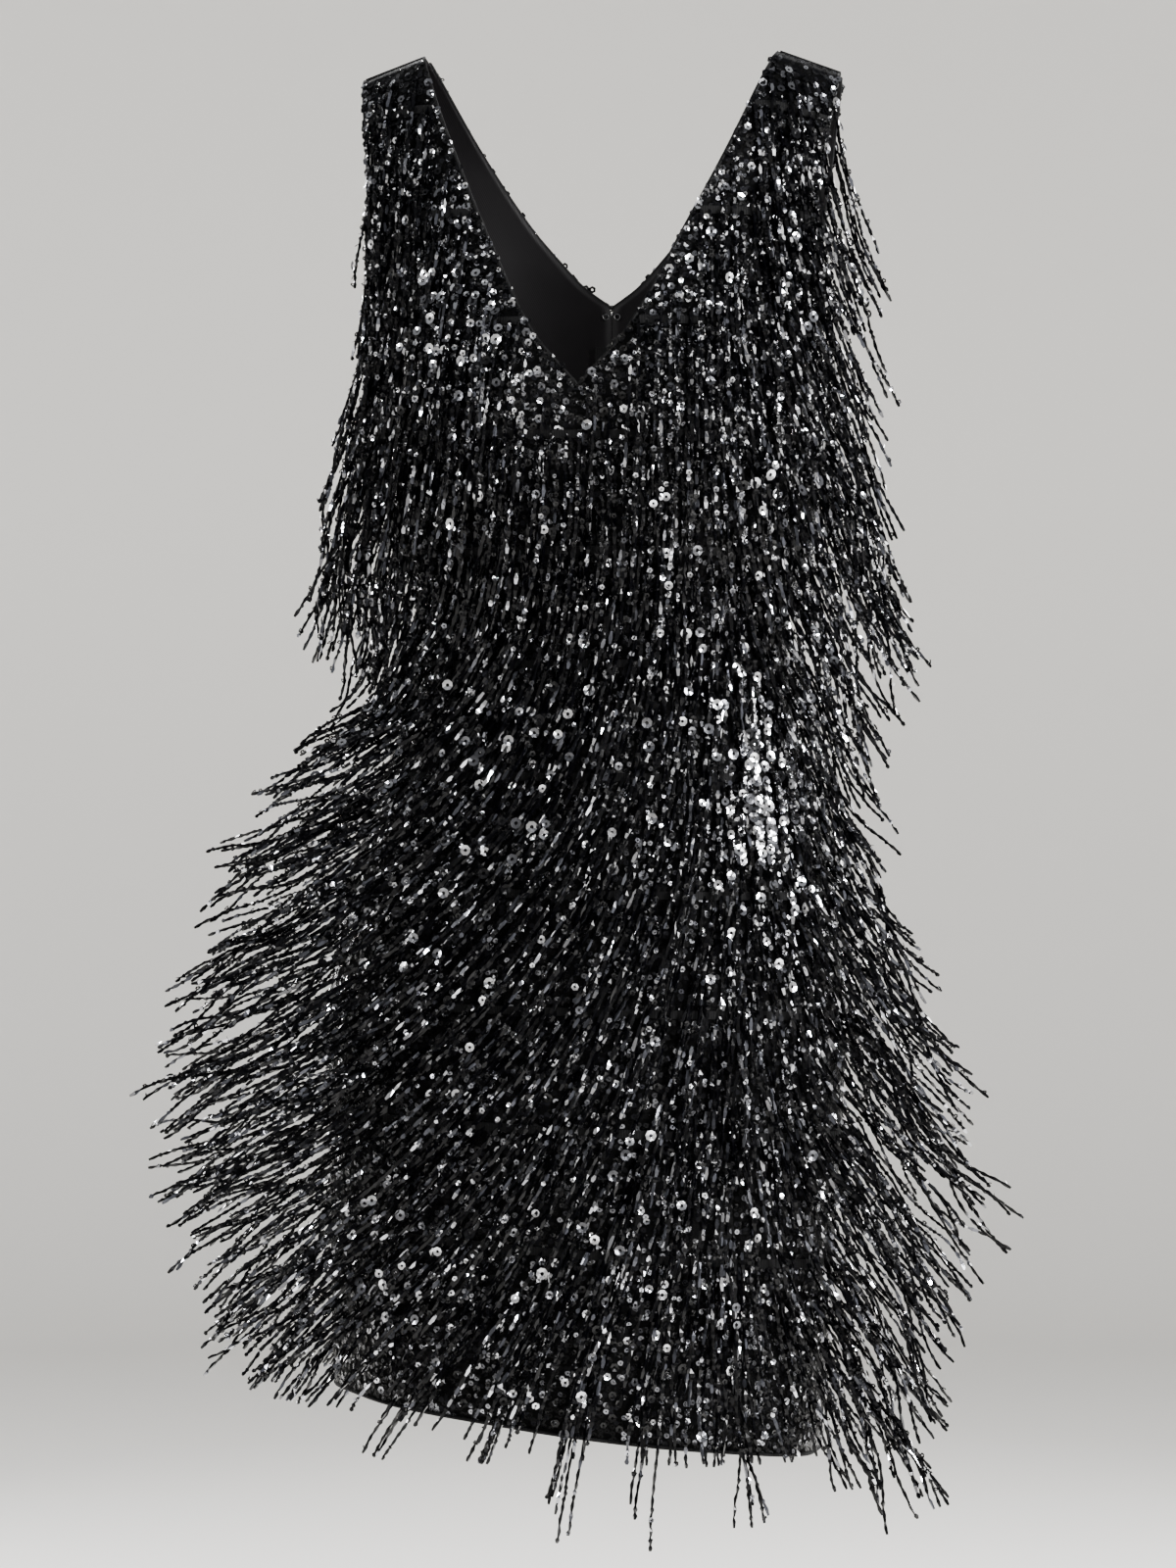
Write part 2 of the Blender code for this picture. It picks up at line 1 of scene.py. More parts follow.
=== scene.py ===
# %% [markdown]
# # A sequin fringe mini dress
#
# The dress is a fitted shell of black net, sewn all over with small sequins. Eleven rows of
# beaded fringe hang from it and swing to both sides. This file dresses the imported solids: it
# makes the cloth, the sequins and the strands of beads, and sets the light and the camera.
# Lengths are in millimetres and are turned to metres when a mesh is filled.

# %% Frame
import math

import bpy
import numpy as np
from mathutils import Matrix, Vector


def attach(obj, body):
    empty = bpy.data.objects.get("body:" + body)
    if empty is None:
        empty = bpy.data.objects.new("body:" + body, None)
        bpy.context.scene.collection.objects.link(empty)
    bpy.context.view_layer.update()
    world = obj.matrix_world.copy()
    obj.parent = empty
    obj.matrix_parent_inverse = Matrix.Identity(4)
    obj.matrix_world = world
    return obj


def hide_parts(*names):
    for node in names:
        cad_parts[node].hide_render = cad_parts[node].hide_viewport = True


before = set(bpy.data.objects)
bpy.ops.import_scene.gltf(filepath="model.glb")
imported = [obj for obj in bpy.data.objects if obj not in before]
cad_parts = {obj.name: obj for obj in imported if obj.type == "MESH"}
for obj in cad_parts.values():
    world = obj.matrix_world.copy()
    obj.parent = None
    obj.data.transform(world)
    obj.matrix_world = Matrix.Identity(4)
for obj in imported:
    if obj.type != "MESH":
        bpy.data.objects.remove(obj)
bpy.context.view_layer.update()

MM = 0.001
print("nodes in the frame:", len(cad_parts))

# %% [markdown]
# ## Camera
#
# The camera stands level, three metres in front of the dress, with a long lens, so that the
# shoulders and the hem are seen almost straight on. The size of the picture at the dress is
# a real size: 995 mm from top to bottom.

# %% Camera
CAMERA_DISTANCE = 3000.0
VIEW_HEIGHT = 995.0
VIEW_CENTRE = (-9.0, -462.0)
SENSOR = 36.0

camera_data = bpy.data.cameras.new("camera")
camera_data.sensor_width = SENSOR
camera_data.lens = SENSOR * CAMERA_DISTANCE / VIEW_HEIGHT
camera = bpy.data.objects.new("camera", camera_data)
camera.location = (VIEW_CENTRE[0] * MM, -CAMERA_DISTANCE * MM, VIEW_CENTRE[1] * MM)
camera.rotation_euler = (math.radians(90), 0, 0)
bpy.context.scene.collection.objects.link(camera)
bpy.context.scene.camera = camera
print("lens:", round(camera_data.lens, 1), "mm")

# %% [markdown]
# ## Filling a mesh from arrays
#
# Every new piece is an array of points and an array of quads. `foreach_set` copies whole
# arrays into the mesh at once, which is much faster than adding points one by one. A face
# attribute named tone holds one random number for each bead or sequin, so that a material
# can make each of them a little different.


# %% Mesh helper
def mesh_piece(name, points, quads, materials, tone=None, slot_index=None, smooth=False):
    """Makes an object from points (n, 3) in millimetres and quads (m, 4) of point numbers.

    A face with -1 as its last number is a triangle.
    """
    corner = quads >= 0
    corners = corner.sum(axis=1)
    mesh = bpy.data.meshes.new(name)
    mesh.vertices.add(len(points))
    mesh.vertices.foreach_set("co", (points * MM).astype(np.float32).ravel())
    mesh.loops.add(int(corners.sum()))
    mesh.loops.foreach_set("vertex_index", quads[corner].astype(np.int32))
    mesh.polygons.add(len(quads))
    mesh.polygons.foreach_set("loop_start", (np.cumsum(corners) - corners).astype(np.int32))
    for material in materials:
        mesh.materials.append(material)
    if slot_index is not None:
        mesh.polygons.foreach_set("material_index", slot_index.astype(np.int32))
    mesh.update(calc_edges=True)
    if tone is not None:
        mesh.attributes.new("tone", "FLOAT", "FACE").data.foreach_set("value", tone.astype(np.float32))
    mesh.polygons.foreach_set("use_smooth", np.full(len(quads), smooth))
    obj = bpy.data.objects.new(name, mesh)
    bpy.context.scene.collection.objects.link(obj)
    return obj


def grid_quads(rows, columns, flip=False):
    """Quads of a grid of points: cell (r, c) joins the points at r, r + 1 and c, c + 1."""
    number = np.arange(rows * columns).reshape(rows, columns)
    corners = [number[:-1, :-1], number[1:, :-1], number[1:, 1:], number[:-1, 1:]]
    quads = np.stack(corners, -1).reshape(-1, 4)
    return quads[:, ::-1] if flip else quads


def unit(vectors):
    """The same vectors (..., 3), each divided by its length."""
    return vectors / np.linalg.norm(vectors, axis=-1, keepdims=True)


def square_to(vectors, ahead):
    """Unit vectors with their part along the unit vectors ahead taken off."""
    return unit(vectors - ahead * np.sum(vectors * ahead, axis=1, keepdims=True))


# %% [markdown]
# ## Floor and light
#
# Black gloss only shows what it mirrors. Each bead has long flat faces, so a small light gives
# a bright line on the few that happen to face it, and the rest of the strand stays dark. The
# strongest lights stand high and to the right, weaker ones in front, at the left and behind,
# and a pale sweep of paper all round keeps the rest soft.

# %% Studio sweep
FLOOR_DROP = 1350.0
FLOOR_RINGS = (1.0, 1500.0, 3000.0)
SWEEP_RADIUS = 6000.0
SWEEP_CURVE = 1500.0
SWEEP_TOP = 3200.0
CURVE_STEPS = 12
SWEEP_COLUMNS = 97


def studio_sweep():
    """A floor that turns up into a round wall: a profile of radius and height, spun about Z."""
    turn = np.linspace(0, np.pi / 2, CURVE_STEPS)
    curve_r = SWEEP_RADIUS - SWEEP_CURVE + SWEEP_CURVE * np.sin(turn)
    curve_z = SWEEP_CURVE * (1 - np.cos(turn))
    radius = np.concatenate([FLOOR_RINGS, curve_r, [SWEEP_RADIUS]])[:, None]
    height = np.concatenate([np.zeros(len(FLOOR_RINGS)), curve_z, [SWEEP_TOP]])[:, None] - FLOOR_DROP
    spin = np.linspace(0, math.tau, SWEEP_COLUMNS)
    points = np.stack(np.broadcast_arrays(radius * np.cos(spin), radius * np.sin(spin), height), -1)
    return points.reshape(-1, 3), grid_quads(len(radius), SWEEP_COLUMNS)


def linear(colour):
    """An sRGB hex colour as the linear red, green and blue that a shader wants."""
    channel = np.array([int(colour[i : i + 2], 16) for i in (1, 3, 5)]) / 255
    value = np.where(channel <= 0.04045, channel / 12.92, ((channel + 0.055) / 1.055) ** 2.4)
    return tuple(value) + (1.0,)


def set_inputs(node, inputs):
    """Gives inputs of a node, by name or number, a value or the output that they follow."""
    for name, value in inputs.items():
        if isinstance(value, bpy.types.NodeSocket):
            node.id_data.links.new(value, node.inputs[name])
        else:
            node.inputs[name].default_value = value


def new_material(name, colour, roughness, **inputs):
    """A Principled material with its own inputs set, and its tree and shader to build on."""
    material = bpy.data.materials.new(name)
    material.use_nodes = True
    shader = material.node_tree.nodes["Principled BSDF"]
    inputs = {key.replace("_", " "): value for key, value in inputs.items()}
    set_inputs(shader, {"Base Color": linear(colour), "Roughness": roughness, **inputs})
    return material, material.node_tree, shader


paper, _, _ = new_material("seamless_paper", "#eceae6", 0.9)
floor = mesh_piece("studio_sweep", *studio_sweep(), [paper], smooth=True)

# %% Lights
LIGHTS = (
    # name, place, width, height, watts
    ("key_right_high", (1700, -1900, 900), 320, 320, 75),
    ("strip_right", (2150, -950, 160), 600, 1200, 220),
    ("strip_front_right", (950, -2600, 250), 80, 1000, 15),
    ("front_high", (250, -2700, 1500), 320, 220, 30),
    ("front_near", (260, -3200, 250), 220, 180, 8),
    ("strip_left", (-2200, -700, 350), 300, 900, 70),
    ("left_high", (-1100, -1700, 1500), 220, 180, 7),
    ("back_strip_right", (1700, 2000, 200), 160, 2000, 72),
    ("back_strip_left", (-1500, 2200, 200), 110, 2000, 54),
    ("back_high", (-200, 2700, 1300), 320, 220, 54),
)
AIM = Vector((0.0, 0.0, -450.0))


def area_light(name, place, width, height, watts):
    """A rectangular light at place, turned to face the middle of the dress."""
    data = bpy.data.lights.new(name, "AREA")
    data.shape = "RECTANGLE"
    data.size = width * MM
    data.size_y = height * MM
    data.energy = watts
    light = bpy.data.objects.new(name, data)
    light.location = Vector(place) * MM
    light.rotation_euler = (Vector(place) - AIM).to_track_quat("Z", "Y").to_euler()
    light.visible_camera = False
    bpy.context.scene.collection.objects.link(light)


for light_row in LIGHTS:
    area_light(*light_row)

world = bpy.data.worlds.new("soft_studio")
world.use_nodes = True
set_inputs(world.node_tree.nodes["Background"], {"Color": linear("#f2f3f5"), "Strength": 0.38})
bpy.context.scene.world = world
print("lights:", len(LIGHTS))

# %% [markdown]
# ## The figure that fills the dress
#
# The cloth lies on a smooth figure given by a short table: the half width at the side seams,
# the depth in front of and behind them, and the sideways shift and turn of the stance, at
# each drop below the shoulder. A cubic through each column, flat at its own peaks, joins the
# rows. A point is found from an angle round the figure and a drop, so a whole panel is one
# array expression.

# %% Figure tables
WALL = 1.6
SEAM_GAP = 0.3
FRONT_V_DROP = 218.0
BACK_V_DROP = 151.0
UNDERARM_DROP = 213.0
WAIST_DROP = 372.0
HEM_DROP = 862.0
SHOULDER_SLOPE = 14.0
SHOULDER_SLOPE_END = 120.0
SHOULDER_ARCH = 70.0
NECK_HALF_WIDTH = 113.0
SHOULDER_HALF_WIDTH = 151.0
HEM_TILT = 21.0
CUP_HEIGHT = 17.0
CUP_SIDE = 74.0
CUP_DROP = 252.0
CUP_WIDTH = 46.0
CUP_LENGTH = 58.0

# Columns: drop, half width, depth in front, depth behind, sideways shift, turn in degrees
FORM = (
    (0, 172, 62, 66, 0, 6),
    (60, 168, 70, 76, -1, 6),
    (120, 160, 86, 90, -3, 6),
    (213, 146, 106, 103, -4, 6),
    (260, 144, 106, 103, -3, 5),
    (310, 130, 98, 94, -1, 4),
    (WAIST_DROP, 115, 89, 85, 1, 3),
    (450, 131, 94, 99, -3, 2),
    (530, 153, 103, 117, -7, 0),
    (613, 163, 108, 122, -9, -1),
    (700, 161, 110, 117, -11, -1),
    (862, 155, 108, 110, -14, 0),
)
# Columns: angle, depth at the hem, width in degrees, drop where it starts
FOLDS = (
    (-128, 4.5, 15, 560),
    (-68, 5, 14, 500),
    (-22, 3.5, 13, 600),
    (38, 4, 16, 540),
    (82, 5, 14, 620),
    (142, 4, 15, 520),
)
# Columns: angle, drop, half length round in degrees, half height, lean, height of the ridge
CREASES = (
    (-58, 352, 26, 6, 0.35, 0.9),
    (-30, 392, 22, 7, -0.25, 0.8),
    (24, 360, 28, 6, 0.2, 0.9),
    (62, 402, 22, 8, -0.4, 0.9),
    (-72, 300, 18, 7, 0.8, 0.8),
    (70, 296, 18, 7, -0.7, 0.8),
    (132, 366, 26, 7, 0.3, 0.9),
    (-134, 384, 26, 7, -0.3, 0.9),
)
NECK_FRONT = ((0, 113), (55, 91), (123, 60), (184, 29), (218, 0))
NECK_BACK = ((0, 113), (50, 86), (99, 53), (120, 35), (138, 18), (151, 0))
ARMHOLE = ((0, 151), (60, 144), (120, 139.5), (170, 140), (200, 144), (213, 146))


# %% Figure functions
def smooth_column(rows, column):
    """A function of the drop: a cubic through one column of a table, flat at its own peaks."""
    place = np.array([row[0] for row in rows])
    value = np.array([row[column] for row in rows])
    step = np.diff(place)
    rate = np.diff(value) / step
    slope = np.concatenate([[rate[0]], np.zeros(len(rate) - 1), [rate[-1]]])
    same_way = rate[:-1] * rate[1:] > 0
    mean = 2 * rate[:-1] * rate[1:] / np.where(same_way, rate[:-1] + rate[1:], 1.0)
    slope[1:-1] = np.where(same_way, mean, 0.0)

    def at(drop):
        drop = np.clip(drop, place[0], place[-1])
        i = np.clip(np.searchsorted(place, drop) - 1, 0, len(step) - 1)
        t = (drop - place[i]) / step[i]
        start, end = value[i], value[i + 1]
        lift = step[i] * (t * (1 - t) ** 2 * slope[i] - t**2 * (1 - t) * slope[i + 1])
        return start + (end - start) * t * t * (3 - 2 * t) + lift

    return at


HALF_WIDTH, FRONT_DEPTH, BACK_DEPTH, SHIFT, TURN = (smooth_column(FORM, c) for c in range(1, 6))
NECK_FRONT_AT = smooth_column(NECK_FRONT, 1)
NECK_BACK_AT = smooth_column(NECK_BACK, 1)
ARMHOLE_AT = smooth_column(ARMHOLE, 1)


def arch(drop):
    """The share of its depth that the figure has near the top: a quarter circle."""
    t = 1 - np.clip(drop / SHOULDER_ARCH, 0, 1)
    return np.sqrt(np.clip(1 - t * t, 0, 1))


def turned(x, y, turn):
    """x and y turned about Z: (x cos + y sin, y cos - x sin)."""
    return x * np.cos(turn) + y * np.sin(turn), y * np.cos(turn) - x * np.sin(turn)


def stance(x, y, drop):
    """A point of the upright figure moved to where it stands: turned, shifted, hem tilted."""
    share = np.clip((drop - WAIST_DROP) / (HEM_DROP - WAIST_DROP), 0, 1)
    slope = SHOULDER_SLOPE * np.clip(1 - drop / SHOULDER_SLOPE_END, 0, 1)
    across = np.clip((np.abs(x) - NECK_HALF_WIDTH) / (SHOULDER_HALF_WIDTH - NECK_HALF_WIDTH), 0, 1)
    z = -drop - slope * across - HEM_TILT * share**2 * x / HALF_WIDTH(drop)
    x, y = turned(x, y, np.radians(TURN(drop)))
    return np.stack([x + SHIFT(drop), y, z], -1)


def sink(angle_deg, drop):
    """How far the folds sink the cloth: a bell across each, deeper from its start to the hem."""
    depth = 0.0
    for fold_angle, fold, width, start in FOLDS:
        share = np.clip((drop - start) / (HEM_DROP - start), 0, 1)
        depth = depth + fold * share * np.exp(-(((angle_deg - fold_angle) / width) ** 2))
    return depth


def ridge(angle_deg, drop):
    """Drag creases round the waist: each a bell along its line, which leans by its slope."""
    height = 0.0
    for mid_angle, mid_drop, length, width, lean, crest in CREASES:
        along = (angle_deg - mid_angle) / length
        across = (drop - mid_drop - lean * (angle_deg - mid_angle)) / width
        height = height + crest * np.exp(-(along**2) - across**2)
    return height


def cups(x, drop):
    """How far the two bust cups stand out in front at this place across the figure and drop."""
    over = (drop - CUP_DROP) / CUP_LENGTH
    left, right = (x + CUP_SIDE) / CUP_WIDTH, (x - CUP_SIDE) / CUP_WIDTH
    return CUP_HEIGHT * (np.exp(-(left**2) - over**2) + np.exp(-(right**2) - over**2))


def figure(angle_deg, drop):
    """The inner face of the cloth. Angle 0 is the front centre, 90 the right side, 180 the back."""
    angle_deg = (np.asarray(angle_deg) + 180.0) % 360.0 - 180.0
    angle = np.radians(angle_deg)
    forward = np.cos(angle)
    depth = np.where(forward > 0, FRONT_DEPTH(drop), BACK_DEPTH(drop)) * arch(drop)
    x = HALF_WIDTH(drop) * np.sin(angle)
    y = -depth * forward - np.where(forward > 0, cups(x, drop) * forward, 0)
    inward = sink(angle_deg, drop)
    x = x - inward * np.sin(angle)
    y = y + inward * forward
    y = y - np.where(forward > 0, SEAM_GAP / 2, -SEAM_GAP / 2)
    return stance(x, y, drop)


NORMAL_TOP = 4.0
ANGLE_STEP = 0.4
DROP_STEP = 1.0


def normals_of(angle_deg, drop):
    """Unit normals of the figure, out of it, from the cross product of small steps on it."""
    lower = np.maximum(drop, NORMAL_TOP)
    round_it = figure(angle_deg + ANGLE_STEP, lower) - figure(angle_deg - ANGLE_STEP, lower)
    down_it = figure(angle_deg, lower + DROP_STEP) - figure(angle_deg, lower - DROP_STEP)
    return unit(np.cross(down_it, round_it))


def off_figure(angle_deg, drop, outward):
    """Points this far outside the inner face of the cloth."""
    return figure(angle_deg, drop) + normals_of(angle_deg, drop) * np.asarray(outward)[..., None]


def angle_of(distance, drop):
    """The angle round the figure at which it is this far from its centre line."""
    return np.degrees(np.arcsin(np.clip(distance / HALF_WIDTH(drop), 0, 1)))


def outer_angle(drop):
    """The angle of the armhole edge, or of the side seam below the underarm."""
    return np.where(drop < UNDERARM_DROP, angle_of(ARMHOLE_AT(drop), drop), 90.0)


def inner_angle(drop, neck, v_drop):
    """The angle of the neck edge, or 0 below the point of the V."""
    return np.where(drop < v_drop, angle_of(neck(drop), drop), 0.0)


def panel_angle(side, angle, back):
    """An angle out from the centre line, as the angle round the figure on this half panel."""
    return side * (180.0 - angle if back else angle)


print("waist half width:", float(HALF_WIDTH(WAIST_DROP)), "mm")

# %% [markdown]
# ## Materials
#
# Jet glass beads and black sequins are both a glossy black. Each bead and sequin has a number
# named tone that sets its darkness and polish: most are black, and a few have a silver lustre,
# so that a strand shows bright and dark dashes as its beads catch the light one by one.


# %% Node helper
def add_node(tree, kind, inputs=(), stops=(), **settings):
    """Adds a shader node with its properties and inputs set, and gives its outputs.

    The stops are those of a colour ramp: (position, hex colour) pairs.
    """
    node = tree.nodes.new("ShaderNode" + kind)
    for key, value in settings.items():
        setattr(node, key, value)
    set_inputs(node, dict(inputs))
    if stops:
        elements = node.color_ramp.elements
        while len(elements) < len(stops):
            elements.new(0.5)
        for element, (position, colour) in zip(elements, stops):
            element.position = position
            element.color = linear(colour)
    return node.outputs


# %% Beads and sequins
def bead_glass():
    """Jet glass, fire polished: nearly all beads are black, and a few have a grey lustre."""
    material, tree, shader = new_material(
        "jet_glass_beads", "#060607", 0.15, IOR=1.52, Specular_IOR_Level=0.13
    )
    tone = add_node(tree, "Attribute", attribute_name="tone")["Fac"]
    stops = [(0.0, "#010102"), (0.88, "#050506"), (0.94, "#3a3b40"), (1.0, "#cccdd3")]
    metal = {"Value": tone, "From Min": 0.92, "From Max": 0.96}
    rough = {"Value": tone, "To Min": 0.14, "To Max": 0.07}
    set_inputs(shader, {
        "Base Color": add_node(tree, "ValToRGB", {"Fac": tone}, stops)["Color"],
        "Metallic": add_node(tree, "MapRange", metal)["Result"],
        "Roughness": add_node(tree, "MapRange", rough)["Result"],
    })
    return material


def sequin_film():
    """Punched polyester film with a black metal coat: a mirror with a faint ripple."""
    material, tree, shader = new_material(
        "black_sequin_film", "#0b0b0d", 0.14, IOR=1.6, Specular_IOR_Level=0.14
    )
    tone = add_node(tree, "Attribute", attribute_name="tone")["Fac"]
    stops = [(0.0, "#010102"), (0.7, "#050506"), (0.78, "#6c6d72"), (1.0, "#f0f1f5")]
    metal = {"Value": tone, "From Min": 0.7, "From Max": 0.76}
    place = add_node(tree, "TexCoord")["Object"]
    ripple = add_node(tree, "TexNoise", {"Vector": place, "Scale": 420.0, "Detail": 1.0})["Fac"]
    bump = {"Height": ripple, "Strength": 0.12, "Distance": 0.0004}
    set_inputs(shader, {
        "Base Color": add_node(tree, "ValToRGB", {"Fac": tone}, stops)["Color"],
        "Metallic": add_node(tree, "MapRange", metal)["Result"],
        "Normal": add_node(tree, "Bump", bump)["Normal"],
    })
    return material


# %% Cloths
SEQUIN_CELL = 3.4


def sequined_net():
    """Black power net with 3 mm sequins sewn flat all over, too small and too many to model.

    The attribute cloth_place is a place on the cloth in millimetres. Each Voronoi cell there,
    SEQUIN_CELL wide, holds one sequin: a ring with its own brightness, which leans its own way
    because the height over it is the dot product of its random colour and the place in it.
    """
    material, tree, shader = new_material(
        "sequined_net", "#020202", 0.85, IOR=1.4, Specular_IOR_Level=0.05
    )
    place = add_node(tree, "Attribute", attribute_name="cloth_place")["Vector"]
    spots = {"Vector": place, "Scale": 1 / SEQUIN_CELL}
    cell = add_node(tree, "TexVoronoi", spots, voronoi_dimensions="2D")
    ring_stops = [(0.08, "#000000"), (0.16, "#ffffff"), (0.42, "#ffffff"), (0.5, "#000000")]
    ring = add_node(tree, "ValToRGB", {"Fac": cell["Distance"]}, ring_stops)["Color"]
    own = add_node(tree, "SeparateColor", {"Color": cell["Color"]})["Red"]
    film_stops = [(0.0, "#010101"), (0.6, "#040405"), (0.8, "#1c1c1f"), (1.0, "#8a8b90")]
    film = add_node(tree, "ValToRGB", {"Fac": own}, film_stops)["Color"]
    silver = add_node(tree, "MapRange", {"Value": own, "From Min": 0.7, "From Max": 0.8})["Result"]
    local = add_node(tree, "VectorMath", {0: place, 1: cell["Position"]}, operation="SUBTRACT")
    lean = add_node(tree, "VectorMath", {0: cell["Color"], 1: (0.5,) * 3}, operation="SUBTRACT")
    slope = {0: local["Vector"], 1: lean["Vector"]}
    height = add_node(tree, "VectorMath", slope, operation="DOT_PRODUCT")["Value"]
    colour = {"Fac": ring, "Color1": linear("#010101"), "Color2": film}
    rough = {"Value": ring, "To Min": 0.85, "To Max": 0.2}
    bump = {"Height": height, "Strength": 0.5, "Distance": MM}
    set_inputs(shader, {
        "Base Color": add_node(tree, "MixRGB", colour)["Color"],
        "Metallic": add_node(tree, "Math", {0: silver, 1: ring}, operation="MULTIPLY")["Value"],
        "Roughness": add_node(tree, "MapRange", rough)["Result"],
        "Normal": add_node(tree, "Bump", bump)["Normal"],
    })
    return material


def lining_satin():
    """Acetate satin lining: near black, with fine slanting floats that give a soft gloss."""
    material, tree, shader = new_material(
        "acetate_satin_lining", "#080708", 0.55, IOR=1.42, Specular_IOR_Level=0.1
    )
    place = add_node(tree, "TexCoord")["Object"]
    slant = {"Vector": place, "Rotation": (0.0, math.radians(28), 0.0)}
    slanted = add_node(tree, "Mapping", slant)["Vector"]
    floats = {"Vector": slanted, "Scale": 260.0, "Distortion": 0.6}
    soft = add_node(tree, "TexNoise", {"Vector": place, "Scale": 24.0, "Detail": 3.0})["Fac"]
    stops = [(0.3, "#040304"), (0.7, "#080708")]
    wave = add_node(tree, "TexWave", floats)["Fac"]
    bump = {"Height": wave, "Strength": 0.25, "Distance": 0.0002}
    set_inputs(shader, {
        "Base Color": add_node(tree, "ValToRGB", {"Fac": soft}, stops)["Color"],
        "Normal": add_node(tree, "Bump", bump)["Normal"],
    })
    return material


def woven_tape():
    """Black polyester tape and binding: a tight plain weave with ribs 1.6 mm apart.

    Real ribs are finer, and would not show.
    """
    material, tree, shader = new_material(
        "woven_polyester_tape", "#060607", 0.75, IOR=1.42, Specular_IOR_Level=0.12
    )
    place = add_node(tree, "TexCoord")["Object"]
    weave = {"Vector": place, "Scale": 1250.0 / math.tau, "Distortion": 0.2}
    ribs = add_node(tree, "TexWave", weave)["Fac"]
    # The colour follows the ribs' height, so the grooves between them are darker than the crests:
    # painted shade.
    stops = [(0.2, "#020202"), (0.8, "#050506")]
    bump = {"Height": ribs, "Strength": 0.4, "Distance": 0.0003}
    set_inputs(shader, {
        "Base Color": add_node(tree, "ValToRGB", {"Fac": ribs}, stops)["Color"],
        "Normal": add_node(tree, "Bump", bump)["Normal"],
    })
    return material


def enamelled_brass():
    """Small zip and hook parts: brass under black enamel, rubbed duller here and there."""
    material, tree, shader = new_material(
        "black_enamelled_brass", "#101012", 0.3, IOR=1.5, Coat_Weight=0.5
    )
    place = add_node(tree, "TexCoord")["Object"]
    wear = add_node(tree, "TexNoise", {"Vector": place, "Scale": 900.0, "Detail": 4.0})["Fac"]
    rough = add_node(tree, "MapRange", {"Value": wear, "To Min": 0.22, "To Max": 0.5})["Result"]
    set_inputs(shader, {"Roughness": rough})
    return material


GLASS, FILM, NET = bead_glass(), sequin_film(), sequined_net()
LINING, TAPE, ENAMEL = lining_satin(), woven_tape(), enamelled_brass()
print("materials:", [m.name for m in (GLASS, FILM, NET, LINING, TAPE, ENAMEL)])

# %% [markdown]
# ## The cloth
#
# Each panel is a grid between two edges: the neck edge or centre line, and the armhole edge
# or side seam. The open grid lies on the inner face of the cloth and Solidify gives it the
# thickness of the lined net, outwards. The panels could also be cut flat and sewn on the
# figure by a simulation, but a fitted dress has no slack to show for it.

# %% Cloth panels
NET_THICKNESS = 1.1
LINING_THICKNESS = 0.6
LINING_INSET = 1.1
LINING_DROP = 300.0
# The radius that turns an angle round the figure into a distance on the cloth's pattern, in millimetres
PATTERN_RADIUS = 135.0
PANEL_ROWS = 76
PANEL_COLUMNS = 28
ROW_EASE = 1.15
CENTRE_WELD = 0.05


def panel_grid(side, edge, last):
    """Angles and drops of a half panel: rows down from the shoulder, columns out to the side."""
    neck, v_drop, back = edge
    drops = last * np.linspace(0, 1, PANEL_ROWS) ** ROW_EASE
    drop = np.repeat(drops[:, None], PANEL_COLUMNS, axis=1)
    inner, outer = inner_angle(drop, neck, v_drop), outer_angle(drop)
    angle = inner + (outer - inner) * np.linspace(0, 1, PANEL_COLUMNS)
    return panel_angle(side, angle, back), drop


def cloth_piece(name, node, sides, edge, last, outward, wall, materials):
    """A cloth shell that replaces one node, with its area measured.

    The first material is on its outer face, and the last on its inner face and its rim.
    """
    back = edge[2]
    points, quads, cloth_place, area = [], [], [], 0.0
    for count, side in enumerate(sides):
        angle, drop = panel_grid(side, edge, last)
        place = off_figure(angle, drop, outward + ridge(angle, drop))
        place[..., 0] += back * side * SEAM_GAP / 2
        down, across = np.diff(place, axis=0)[:, :-1], np.diff(place, axis=1)[:-1]
        area += np.linalg.norm(np.cross(down, across), axis=-1).sum() * MM * MM
        points.append(place.reshape(-1, 3))
        cloth_place.append(np.stack([np.radians(angle) * PATTERN_RADIUS, drop, 0 * drop], -1).ravel())
        grid = grid_quads(PANEL_ROWS, PANEL_COLUMNS, flip=(side > 0) == back)
        quads.append(grid + count * PANEL_ROWS * PANEL_COLUMNS)
    obj = mesh_piece(name, np.concatenate(points), np.concatenate(quads), materials, smooth=True)
    pattern = obj.data.attributes.new("cloth_place", "FLOAT_VECTOR", "POINT")
    pattern.data.foreach_set("vector", np.concatenate(cloth_place))
    weld = obj.modifiers.new("centre_line", "WELD")
    weld.merge_threshold = CENTRE_WELD * MM
    solidify = obj.modifiers.new("thickness", "SOLIDIFY")
    solidify.thickness = wall * MM
    solidify.offset = 1.0
    solidify.material_offset = solidify.material_offset_rim = len(materials) - 1
    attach(obj, "root")
    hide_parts(node)


FRONT_EDGE = (NECK_FRONT_AT, FRONT_V_DROP, False)
BACK_EDGE = (NECK_BACK_AT, BACK_V_DROP, True)
SIDES = (("left", -1), ("right", 1))
cloth_piece(
    "front_cloth", "front_panel", (-1, 1), FRONT_EDGE, HEM_DROP, 0.0,
    NET_THICKNESS, (NET, LINING),
)
for side_name, side in SIDES:
    cloth_piece(
        f"back_cloth_{side_name}", f"back_panel_{side_name}", (side,), BACK_EDGE, HEM_DROP, 0.0,
        NET_THICKNESS, (NET, LINING),
    )
    cloth_piece(
        f"lining_{side_name}", f"back_lining_{side_name}", (side,), BACK_EDGE, LINING_DROP,
        -LINING_INSET, LINING_THICKNESS, (LINING,),
    )

# %% [markdown]
# ## Bound edges
#
# The neck, armholes, shoulders and hem are finished with a narrow rolled binding. Each edge is a
# line of points at even steps on the cloth, and the binding is a hexagon carried along it.

